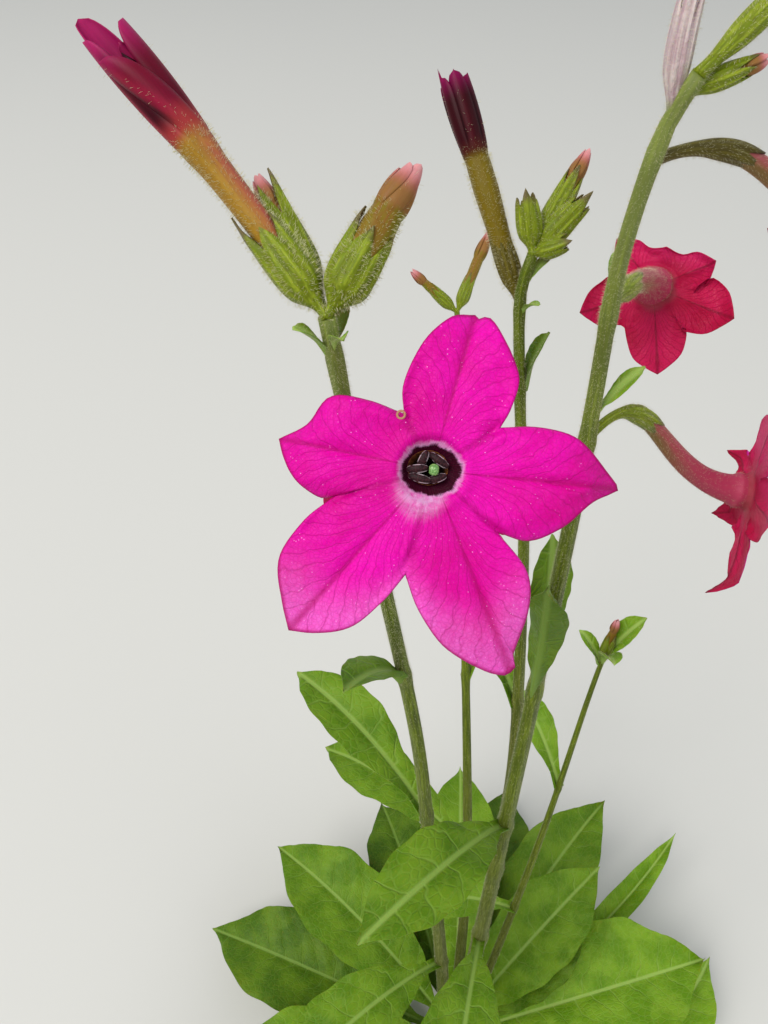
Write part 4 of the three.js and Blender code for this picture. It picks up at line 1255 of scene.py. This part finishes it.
def pod(centre, axes, lengths, groove, rows=13, sides=20):
    """An egg-shaped skin along its first axis, with a groove along its two sides."""
    polar = np.linspace(0.12, np.pi - 0.12, rows)[:, None]
    angle = round_angles(sides)
    dent = 1 - groove * np.abs(np.cos(angle)) ** 6 * np.sin(polar)
    local = np.stack([
        -np.cos(polar) * lengths[0] / 2 + 0 * angle,
        np.sin(polar) * np.cos(angle) * lengths[1] / 2 * dent,
        np.sin(polar) * np.sin(angle) * lengths[2] / 2 * dent,
    ], axis=-1)
    fold = np.abs(np.cos(angle)) ** 2 * np.sin(polar) ** 0.5
    return loft(centre + local @ np.asarray(axes), rest=local * 3, fold=fold)


def filament(start, end, radius):
    across = unit(np.cross(end - start, (0.3, 0.5, 0.8)))
    path = Path(bezier(start, 0.5 * (start + end) + 0.2, end, steps=8), across)
    straight = around(radius, round_angles(8), np.linspace(0, path.length, 10)[:, None])
    return loft(path.bent(straight), rest=straight, fold=np.ones(straight.shape[:2]))


for name, path in flower_paths.items():
    centre, tangent, normal, side = path.at(path.length)
    right = -side

    def spot(u, v, w):
        return centre + right * u + normal * v + tangent * w

    inside = []
    for at, degrees, length in ANTHERS:
        turn = math.radians(degrees)
        ahead = unit(right * math.cos(turn) + normal * math.sin(turn) + tangent * 0.12)
        flat = unit(np.cross(tangent, ahead))
        inside.append(pod(spot(*at), [ahead, flat, np.cross(ahead, flat)], (length, 2.0, 1.6), 0.3))
        inside.append(filament(spot(at[0] * 0.6, at[1] * 0.6, -9), spot(*at) - tangent * 0.3, 0.16))
    make_piece(f"anthers_{name}", join(inside), [anther_skin])
    knob = pod(spot(0.45, 0.1, 0.2), [tangent, right, normal], (1.4, 2.1, 2.05), 0.2)
    style = filament(spot(0.2, 0.0, -12), spot(0.45, -0.1, -0.6), 0.3)
    make_piece(f"stigma_{name}", join([knob, style]), [stigma_skin])
print("anthers", triangle_count["anthers_front"], "stigma", triangle_count["stigma_front"])

# %% [markdown]
# ## A scar
# The open flower in front has one flaw: a small brown ring beside the notch between its top and left
# lobes, where a drop or an insect has hurt it. A ring turned from two circles lies on the petal there.

# %% Mark the scar
SCAR_AT = (9.1, 5.6)  # up and left from the flower's middle
SCAR_RADIUS = 0.65
SCAR_WIDTH = 0.4
SCAR_RISE = 0.1
SCAR_REACH = 0.8  # how far round it the height of the petal is looked up
scar_paint, tree, shader = material("scar_paint", roughness=0.7)
shader.inputs["Base Color"].default_value = screen(170, 120, 88)
front_rest = corolla_skins["front"].values["rest"]
beside_scar = np.hypot(front_rest[:, 0] - SCAR_AT[0], front_rest[:, 1] - SCAR_AT[1]) < SCAR_REACH
scar_height = flower_paths["front"].length + front_rest[beside_scar, 2].max()
round_wire = round_angles(8)
scar_ring = around(
    SCAR_RADIUS + SCAR_WIDTH / 2 * np.cos(round_wire), np.linspace(0, 2 * np.pi, 25)[:, None],
    scar_height + SCAR_RISE * np.sin(round_wire),
)
make_piece("scar", loft(flower_paths["front"].bent(scar_ring + [*SCAR_AT, 0])), [scar_paint])
print("scar", round(2 * SCAR_RADIUS + SCAR_WIDTH, 2), "mm across")

# %% [markdown]
# ## Buds
# The buds stand round the stem tips at every age: the ripe one on the left is about to open and
# shows folded petals over a long yellow and rose tube, the dark one is pleated like a closed
# umbrella, and the young ones are green calyces, some with a pink point. Each is a calyx cup with a
# second cup, the corolla's tube, growing out of it, and a head of furled petals. The ripe heads are
# crimson, with painted shade that makes them nearly black in the folds and painted sheen on their ridges.

# %% Finish the buds
def bud_finish(name, tube, head, shade_and_streak_colour, neck_at, tip_at):
    """A bud's corolla: a tube in three colours, a head in three (flanks darkened as painted shade, ridges
    lightened as painted sheen, and tips), and the colour of the painted shade in its folds, which also
    darkens its streaks.
    """
    made, tree, shader = material(name, roughness=0.42, specular=0.1, subsurface=0.06)
    colour, tones, lines = tube_colours(tree, *tube, neck_at - 0.05, neck_at)
    reach_up = read(tree, "along")
    # Painted light on the head: its crimson is darker on the flanks, as painted shade, and lighter on the
    # hairy ridges, as painted sheen, with a random tone mixed in.
    head_tone = blend(tones["Broad"] * 0.4 + (1 - read(tree, "bare")) * 0.6, *head[:2])
    head_tone = blend(step_up(reach_up, 0.84, 1.0, 0.7), head_tone, head[2])
    colour = blend(step_up(reach_up, *tip_at), colour, head_tone)
    # Painted shade: the fold value (pleat valleys near the neck, the tucked petal edges and the core) darkens
    # the head towards the shade colour.
    shadow = step_up(read(tree, "fold"), 0.3, 1.0) * step_up(reach_up, neck_at - 0.02, neck_at + 0.08)
    colour = blend(shadow * 0.9, colour, shade_and_streak_colour)
    colour = blend(lines["Lines"] * 0.12, colour, shade_and_streak_colour)
    paint(shader, colour, lines["Height"], 0.00012, 0.5)
    return made


# Each bud's colours: its tube (pale, rose, neck), its head (flanks as painted shade, ridges as painted sheen,
# tips), the painted shade of its folds, then the share of the neck and the span where the head's colour takes
# over.
bud_skin = bud_finish(
    "bud_skin", (screen(154, 116, 34), screen(168, 84, 72), screen(152, 50, 50)),
    (screen(86, 0, 28), screen(160, 32, 62), screen(178, 34, 104)),
    screen(22, 0, 4), 0.66, (0.65, 0.74),
)
dark_bud_skin = bud_finish(
    "dark_bud_skin", (screen(106, 92, 4), screen(112, 94, 18), screen(70, 22, 14)),
    (screen(40, 0, 6), screen(74, 4, 20), screen(158, 10, 92)),
    screen(16, 0, 2), 0.65, (0.64, 0.7),
)
young_bud_skin = bud_finish(
    "young_bud_skin", (screen(108, 112, 8), screen(128, 92, 34), screen(136, 96, 50)),
    (screen(178, 88, 92), screen(200, 128, 128), screen(218, 160, 160)),
    screen(96, 40, 40), 0.74, (0.8, 0.94),
)

withered_skin, tree, shader = material("withered_skin", roughness=0.7, sheen=0.3, subsurface=0.12)
_, tones, lines = living(tree)
papery = blend(lines["Lines"], screen(178, 150, 154), screen(214, 200, 192))
# Painted shade: the papery colour darkens in the folds, the pleat valleys and the tucked petal edges.
papery = blend(read(tree, "fold") * 0.5, papery, screen(140, 106, 116))
papery = blend(1 - step_up(read(tree, "along"), 0.04, 0.16), papery, screen(124, 132, 66))
paint(shader, papery, lines["Height"] + tones["Fine"], 0.0005, 0.9)
print("finishes", [m.name for m in bpy.data.materials if "bud" in m.name])

# %% [markdown]
# The table gives each bud's foot and tip, its radii (calyx, tube, neck) and the shares of its length
# where the calyx ends and the neck lies, all close to the solids'. `lift` bows its middle, `belly` and
# `waist` fill or pinch the tube, `teeth` are the lengths of the calyx's five points, `turn` and
# `broad` their first angle and half their width, and `furls` the petals of the head.

# %% List the buds
left_tip, middle_tip = stem_paths["stem_left"].points[-1], stem_paths["stem_middle"].points[-1]
right_tip, back_tip = stem_paths["stem_right"].points[-1], stem_paths["stem_back"].points[-1]
Bud = namedtuple(
    "Bud", "foot tip radii shares lift belly teeth furls skin calyx_finish blush slot fine waist turn broad",
    defaults=(
        (0, 0, 0), 1.0, (0.5, 0.42, 0.46, 0.38, 0.44), even_furls(), young_bud_skin, calyx_skin, 0,
        "calyx", False, None, None, 45,
    ),
)
OPENING_FURLS = [
    Furl(60, 0.98, 4.4, 84, 0.08, 1.3, 0.34, 6.0, -8, dark=0.8),
    Furl(-14, 0.84, 5.2, 58, 0.2, 1.42, 0.4, 5.4, -92),
    Furl(-116, 1.04, 4.2, 60, 0.08, 1.4, 0.4, 6.0, -22, dark=-1.0),
    Furl(160, 1.2, 3.4, 72, 0.1, 1.35, 0.2, 6.0, 12, dark=0.5),
    Furl(122, 0.92, 2.6, 56, 0.1, 1.35, 0.26, 4.0, -10),
]
DARK_FURLS = [
    Furl(-30 + 72 * k, share, 3.3 + 0.5 * (k % 2), 52, 0.12, 1.38, 0.22, 8, 10, nib)
    for k, (share, nib) in enumerate([(0.9, 0.3), (0.86, 0.2), (0.92, 0.4), (0.88, 0.2), (0.9, 2.6)])
]
WITHERED_FURLS = even_furls(2.2, spiral=0.45, bulge=1.2, pinch=0.3, blunt=3.0, twist=90)
BUDS = {
    "bud_opening": Bud(
        left_tip, (-107.5, 25, 712), [4.4, 2.6, 3.9], [0.34, 0.64], (0, 6, -1), 0.9,
        [0.6, 0.36, 0.44, 0.38, 0.44], OPENING_FURLS, bud_skin, blush=52, slot="bud", fine=True,
        waist=3.15, turn=236, broad=56,
    ),
    "bud_pink_left": Bud(
        left_tip, (-81, 18, 688), [4.0, 2.9, 2.3], [0.94, 0.78], teeth=[0.5, 0.4, 0.38, 0.42, 0.38],
        furls=even_furls(0.9, 20, bulge=1.0), fine=True, turn=40,
    ),
    "bud_pink_right": Bud(
        left_tip, (-49, 9, 694), [4.8, 3.9, 3.4], [0.56, 0.7], teeth=[0.6, 0.44, 0.46, 0.4, 0.42],
        furls=[
            Furl(72 * k + 10, share, 1.6 + 0.5 * (k % 2), 62, 0.3, 1.06, 0.3, 6.0, 66)
            for k, share in enumerate((1.0, 0.85, 0.97, 0.81, 0.93))
        ],
        fine=True, turn=316, broad=52,
    ),
    "bud_dark": Bud(
        stem_point("stem_middle", 646), (-38.5, 78, 692), [3.1, 2.3, 3.3], [0.36, 0.64], (1, -2, -2), 1.15,
        [0.46, 0.28, 0.32, 0.28, 0.32], DARK_FURLS, dark_bud_skin, dark_calyx_skin, slot="bud",
        fine=True, turn=245, broad=72,
    ),
    "bud_high": Bud(right_tip, (36, 31, 736), [2.4, 2.0, 2.2], [0.6, 0.7]),
    "bud_green_high": Bud(stem_point("stem_right", 707), (12, 11, 711), [2.1, 1.6, 1.2], [0.84, 0.72]),
    "bud_back_left": Bud(back_tip, (-41, 232, 556), [3.2, 2.6, 2.2], [0.6, 0.74]),
    "bud_back_right": Bud(back_tip, (2, 258, 566), [3.6, 2.8, 3.0], [0.44, 0.66]),
    "withered_flower": Bud(
        stem_point("stem_right", 703), (10, 34, 757), [2.4, 1.7, 1.8], [0.34, 0.6], (-12, -14, -11),
        teeth=[0.6, 0.5, 0.4, 0.55, 0.45], furls=WITHERED_FURLS, skin=withered_skin,
        calyx_finish=withered_skin, slot="withered",
    ),
}
CLOSED = dict(radii=[3.3, 1.7, 1.0], shares=[0.92, 0.5], furls=even_furls(0.5, reach=0.5), broad=64)
CLOSED_SMALL = CLOSED | dict(radii=[2.7, 1.5, 0.9])
CLUSTER_FURLS = even_furls(0.8, bulge=1.15)
CLUSTER_BUDS = [
    Bud(middle_tip, (-3, 63, 677), [3.1, 2.5, 2.0], [0.78, 0.74], furls=CLUSTER_FURLS, broad=58),
    Bud(middle_tip, (-20, 50, 672), teeth=[0.56, 0.36, 0.5, 0.4, 0.44], turn=330, **CLOSED),
    Bud(middle_tip, (-4, 50, 671), teeth=[0.56, 0.4, 0.44, 0.52, 0.38], turn=40, **CLOSED),
    Bud(middle_tip, (-8.5, 42, 663), teeth=[0.56, 0.42, 0.38, 0.38, 0.46], turn=60, **CLOSED_SMALL),
]
SHOOT_BUD = Bud(stem_point("stem_shoot", 404), (65, 100, 432), [3.4, 2.6, 2.0], [0.66, 0.76])
print("buds", len(BUDS) + len(CLUSTER_BUDS) + 1)

# %% [markdown]
# A tooth leans in to the tube when it is short and stands off it when it is long. The tube's own rim
# is hidden inside the furled petals.

# %% Grow the buds
def bud_skins_of(spec, seed):
    """A bud's calyx and its corolla."""
    middle = 0.5 * (spec.foot + spec.tip) + spec.lift
    path = Path(bezier(spec.foot, middle, spec.tip), UP)
    long = path.length
    calyx_radius, tube, neck = spec.radii
    calyx_end, neck_at = [share * long for share in spec.shares]
    rng = np.random.default_rng(seed)
    turn = rng.uniform(0, 72) if spec.turn is None else spec.turn
    rim = 0.56 * calyx_end
    teeth = [
        Tooth(turn + 72 * k + rng.uniform(-5, 5), share * calyx_end, spec.broad, 2.0 * (share - 0.5) - 0.1)
        for k, share in enumerate(spec.teeth)
    ]
    outline = [
        (-0.4, 1.3), (0.12 * calyx_end, 1.3), (0.34 * calyx_end, calyx_radius),
        (0.48 * calyx_end, calyx_radius), (rim, 0.9 * calyx_radius),
    ]
    sides, rows = (80, 40) if spec.fine else (50, 26)
    calyx = cup_skin(
        path, outline, teeth, CALYX_WALL, 0.4 * calyx_end, calyx_end, sides, rows, pleats=10, pleat=0.1,
    )
    mid = 0.45 * (calyx_end + neck_at) if calyx_end < neck_at else 0.8 * neck_at
    full = 0.5 * (tube + neck) * spec.belly
    waist = spec.waist or 0.5 * (full + neck)
    outline = [
        (0.4 * rim, 0.7 * tube), (0.5 * min(calyx_end, neck_at), tube), (mid, full),
        (neck_at - 0.1 * long, waist), (neck_at - 0.02 * long, 0.95 * neck),
        (neck_at + 0.03 * long, 0.86 * neck),
    ]
    sides, rows = (64, 44) if spec.fine else (40, 24)
    sleeve = cup_skin(
        path, outline, [], 0.4, neck_at - 0.03 * long, long, sides, rows, pleat=0.06, blush=spec.blush,
    )
    # The tube's pleats take only a little of the painted fold shade.
    sleeve.values["fold"] *= 0.15
    left = long - neck_at
    outline = [
        (neck_at, 0.84 * neck), (neck_at + 0.3 * left, 0.8 * neck),
        (neck_at + 0.6 * left, 0.5 * neck), (neck_at + 0.8 * left, 0.1),
    ]
    core = cup_skin(path, outline, [], wall=0, floor=math.inf, reach=long, sides=30, rows=12, pleat=0.2)
    # The core gets no hairs and is painted wholly in the fold shade colour: a dark sheet standing for the
    # shade deep between the petals.
    core.values["fold"][:] = core.values["bare"][:] = 1.0
    rows, columns = (32, 21) if spec.fine else (16, 9)
    start = neck_at - 0.045 * long
    petals = [furled_petal(path, start, neck, furl, spec.blush, rows, columns) for furl in spec.furls]
    return calyx, join([sleeve, core, *petals])


bud_skins = {}
for number, (name, spec) in enumerate(BUDS.items()):
    calyx, corolla = bud_skins_of(spec, 20 + 2 * number)
    bud_skins[name] = (calyx, corolla)
    make_piece(f"{name}_calyx", calyx, [spec.calyx_finish], [name])
    make_piece(f"{name}_petals", corolla, [spec.skin], [name])
cluster_skins = [bud_skins_of(spec, 60 + 2 * k) for k, spec in enumerate(CLUSTER_BUDS)]
cluster_calyces, cluster_petals = [join(skins) for skins in zip(*cluster_skins)]
make_piece("bud_cluster_calyces", cluster_calyces, [calyx_skin], ["bud_cluster"])
make_piece("bud_cluster_petals", cluster_petals, [young_bud_skin], ["bud_cluster"])
shoot_calyx, shoot_petals = bud_skins_of(SHOOT_BUD, 80)
make_piece("shoot_tip_calyx", shoot_calyx, [calyx_skin], ["shoot_tip"])
make_piece("shoot_tip_petals", shoot_petals, [young_bud_skin], ["shoot_tip"])
print("buds", {n: triangle_count[f"{n}_petals"] for n in BUDS})

# %% [markdown]
# ## Small leaves and bracts
# Under each flower stalk sits a narrow bract, and the side shoot ends in a tuft of young leaves.
# They are short leaves, so the leaf function makes them too.

# %% Grow the bracts
BRACTS = {
    "shoot_leaves": [
        Leaf("stem_shoot", 406, 20, 34, 13, 72, 36, 0, 20, 0.9, 0.8),
        Leaf("stem_shoot", 406, 260, 32, 12, 70, 34, 0, 20, 0.85, 0.8),
        Leaf("stem_shoot", 402, 140, 24, 9, 66, 30, 0, 20, 0.95, 0.6),
    ],
    "bracts": [
        Leaf("stem_right", 634, 10, 17, 4.6, 62, 20, 20, 12, 0.8, 0.6),
        Leaf("stem_right", 697, 10, 9, 2.6, 74, 60, 0, 12, 0.7, 0.2),
        Leaf("stem_right", 664, 80, 12, 3.4, 60, 30, 0, 12, 0.6, 0.3),
        Leaf("stem_left", 600, 250, 14, 3.8, 56, 20, 0, 12, 0.6, 0.3),
        Leaf("stem_left", 664, 205, 11, 4.2, 58, 30, 0, 16, 0.75, 0.4),
        Leaf("stem_left", 666, 290, 10, 4.0, 50, 20, 0, 16, 0.8, 0.4),
        Leaf("stem_left", 665, 60, 9, 3.6, 60, 40, 0, 16, 0.7, 0.4),
        Leaf("stem_middle", 645, 300, 9, 3.0, 50, 20, 0, 14, 0.5, 0.3),
        Leaf("stem_middle", 652, 20, 10, 3.2, 56, 30, 0, 14, 0.6, 0.3),
        Leaf("stem_back", 446, 200, 12, 3.4, 50, 20, 0, 12, 0.5, 0.3),
        Leaf("stem_back", 411, 70, 12, 3.4, 50, 20, 0, 12, 0.5, 0.3),
        Leaf("stem_back", 530, 300, 10, 3.2, 50, 20, 0, 12, 0.6, 0.3),
    ],
}
bract_skins = {}
for name, specs in BRACTS.items():
    bract_skins[name] = join(leaf_skin_of(spec, 200 + k, 20, 5) for k, spec in enumerate(specs))
make_piece("shoot_tip_leaves", bract_skins["shoot_leaves"], [leaf_skin], ["shoot_tip"])
make_piece("bracts", bract_skins["bracts"], [leaf_skin])
print("bracts", triangle_count["bracts"], "triangles")

# %% [markdown]
# ## Sticky hairs
# Stems, calyces, tubes and buds are covered in fine glandular hairs that catch the light along every
# edge. Particle hair isn't kept by the export, so each hair is a tiny three-sided rod, on the nearest
# buds with a drop on its end, and all of one kind are one mesh, filled straight from arrays. They are
# a little thicker than real ones, so that they show at the size of the picture.

# %% Make hairs
hair_skin, tree, shader = material("hair_skin", roughness=0.35, specular=0.3)
shader.inputs["Base Color"].default_value = screen(214, 208, 168)


def hair_spots(skin, per_mm2, rng, weight=None):
    """Random spots on a skin's quads and the way out of it there."""
    quads = np.vstack([f for f in skin.faces if f.shape[1] == 4])
    a, b, c, d = [skin.points[quads[:, k]] for k in range(4)]
    normal = np.cross(c - a, d - b) / 2
    area = np.linalg.norm(normal, axis=1)
    if weight is not None:
        area = area * weight(skin, quads)
    count = int(per_mm2 * area.sum())
    chosen = rng.choice(len(quads), count, p=area / max(area.sum(), 1e-9)) if count else np.zeros(0, int)
    u, v = rng.random((2, count, 1))
    spot = (1 - v) * ((1 - u) * a[chosen] + u * b[chosen]) + v * ((1 - u) * d[chosen] + u * c[chosen])
    return spot, unit(normal[chosen])


def hairs(spots, out, length, thickness, rng, drop):
    """Rods with a drop, or plain spikes, that stand on the spots."""
    count = len(spots)
    way = unit(out + 0.2 * rng.normal(size=(count, 3)))
    lengths = length * rng.uniform(0.45, 1.2, (count, 1))
    first = unit(np.cross(way, np.where(np.abs(way[:, 2:]) < 0.8, UP, (1.0, 0.0, 0.0))))
    second = np.cross(way, first)
    turns = np.radians([0, 120, 240])
    spokes = np.cos(turns)[:, None] * first[:, None, :] + np.sin(turns)[:, None] * second[:, None, :]
    root = (spots - 0.06 * way)[:, None, :] + thickness * spokes
    apex = (spots + lengths * way)[:, None, :]
    if drop:
        bulb = (spots + 0.86 * lengths * way)[:, None, :] + 1.3 * thickness * spokes
        points = np.concatenate([root, bulb, apex], axis=1)
        quads = np.array([(0, 1, 4, 3), (1, 2, 5, 4), (2, 0, 3, 5)])
        triangles = np.array([(3, 4, 6), (4, 5, 6), (5, 3, 6)])
    else:
        points = np.concatenate([root, apex], axis=1)
        quads = np.zeros((0, 4), int)
        triangles = np.array([(0, 1, 3), (1, 2, 3), (2, 0, 3)])
    start = np.arange(count)[:, None, None] * points.shape[1]
    faces = [(start + quads).reshape(-1, 4), (start + triangles).reshape(-1, 3)]
    faces = [f for f in faces if len(f)]
    finishes = [np.zeros(len(f), int) for f in faces]
    return Skin(points.reshape(-1, 3), faces, finishes, {})

# %% [markdown]
# How thick the hairs stand depends on the place. A weight for each quad says so: none on inner walls,
# few on the smooth flanks of petals, and on the stems different ones above and below the leaves.

# %% Grow the hairs
def outside(skin, quads):
    """1 on outer walls, and next to nothing on inner ones and on smooth flanks."""
    outer = skin.values["inside"][quads].max(axis=1) < 0.5
    return outer * (1 - skin.values["bare"][quads].mean(axis=1)) ** 3


def of_tube(skin, quads):
    """1 on a corolla's tube and 0 on its limb and throat."""
    return (quads.max(axis=1) < skin.tube_points).astype(float)


def above(low, high):
    def weight(skin, quads):
        height = skin.points[quads][..., 2].mean(axis=1)
        return ((height > low) & (height <= high)).astype(float)
    return weight


rng = np.random.default_rng(7)


def hair_of(skins, per_mm2, length, thickness, weight=None, drop=False):
    tufts = []
    for skin in skins:
        spots, out = hair_spots(skin, per_mm2, rng, weight)
        tufts.append(hairs(spots, out, length, thickness, rng, drop))
    return join(tufts)


near_buds = ["bud_opening", "bud_pink_left", "bud_pink_right", "bud_dark"]
near_skins = [skin for name in near_buds for skin in bud_skins[name]]
near_hairs = hair_of(near_skins, 2.9, 1.05, 0.021, outside, drop=True)
make_piece("near_bud_hairs", near_hairs, [hair_skin])
far_skins = [skin for name, pair in bud_skins.items() if name not in near_buds for skin in pair]
far_skins += [calyx for calyx, _ in cluster_skins] + [shoot_calyx]
make_piece("bud_hairs", hair_of(far_skins, 2.8, 0.85, 0.024, outside), [hair_skin])
make_piece("calyx_hairs", hair_of(calyx_skins.values(), 2.4, 0.85, 0.024, outside), [hair_skin])
make_piece("tube_hairs", hair_of(corolla_skins.values(), 1.9, 0.7, 0.022, of_tube), [hair_skin])
upper = [stem_skins[n] for n in ("stem_right", "stem_left", "stem_middle")]
make_piece("stem_hairs", hair_of(upper, 4.2, 0.8, 0.023, above(520, 1000)), [hair_skin])
make_piece("stem_spikes", hair_of(stem_skins.values(), 0.75, 0.9, 0.028, above(30, 520)), [hair_skin])
small_leaves = [bract_skins["bracts"], bract_skins["shoot_leaves"], leaf_skins["leaf_middle_2"]]
make_piece("leaf_hairs", hair_of(small_leaves, 2.0, 0.6, 0.022), [hair_skin])
print("hairs", {n: t for n, t in triangle_count.items() if "hair" in n or "spikes" in n})

# %% [markdown]
# ## Floor and light
# The plant stands on a plain pale floor under the soft light of an overcast day: one wide lamp high
# on the left, a weaker one on the right, and a pale sky that fills the shadows. The plain colour
# transform keeps the magenta as strong as it is.

# %% Set the stage
FLOOR_HALF = 30.0
floor_mesh = bpy.data.meshes.new("floor")
corners = [(-1, -1), (1, -1), (1, 1), (-1, 1)]
floor_mesh.from_pydata([(x * FLOOR_HALF, y * FLOOR_HALF, 0) for x, y in corners], [], [(0, 1, 2, 3)])
floor = bpy.data.objects.new("floor", floor_mesh)
floor_paint, _, shader = material("floor_paint", roughness=0.9, specular=0.1)
shader.inputs["Base Color"].default_value = screen(206, 204, 198)
floor_mesh.materials.append(floor_paint)
bpy.context.scene.collection.objects.link(floor)


def soft_lamp(name, place, aim, size, power, colour):
    data = bpy.data.lights.new(name, "AREA")
    data.shape = "DISK"
    data.size = size
    data.energy = power
    data.color = colour
    lamp = bpy.data.objects.new(name, data)
    lamp.location = place
    away = np.array(aim) - np.array(place)
    tilt = math.acos(-away[2] / np.linalg.norm(away))
    lamp.rotation_euler = (tilt, 0, math.atan2(away[0], -away[1]) + math.pi)
    bpy.context.scene.collection.objects.link(lamp)


soft_lamp("key", (-3.0, -2.2, 5.6), (0, 0, 0.5), 4.4, 345, (1.0, 0.98, 0.95))
soft_lamp("fill", (4.2, -2.2, 3.8), (0, 0, 0.4), 4.6, 62, (0.95, 0.98, 1.0))
world = bpy.data.worlds.new("sky")
world.use_nodes = True
world.node_tree.nodes["Background"].inputs["Color"].default_value = screen(224, 230, 236)
world.node_tree.nodes["Background"].inputs["Strength"].default_value = 0.74
bpy.context.scene.world = world
bpy.context.scene.view_settings.view_transform = "Standard"
print("lights", len(bpy.data.lights), "floor", 2 * FLOOR_HALF, "m wide")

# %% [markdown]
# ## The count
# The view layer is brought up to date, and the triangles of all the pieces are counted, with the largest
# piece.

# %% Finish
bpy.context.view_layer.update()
largest = max(triangle_count, key=triangle_count.get)
print("triangles", sum(triangle_count.values()), "largest", largest, triangle_count[largest])
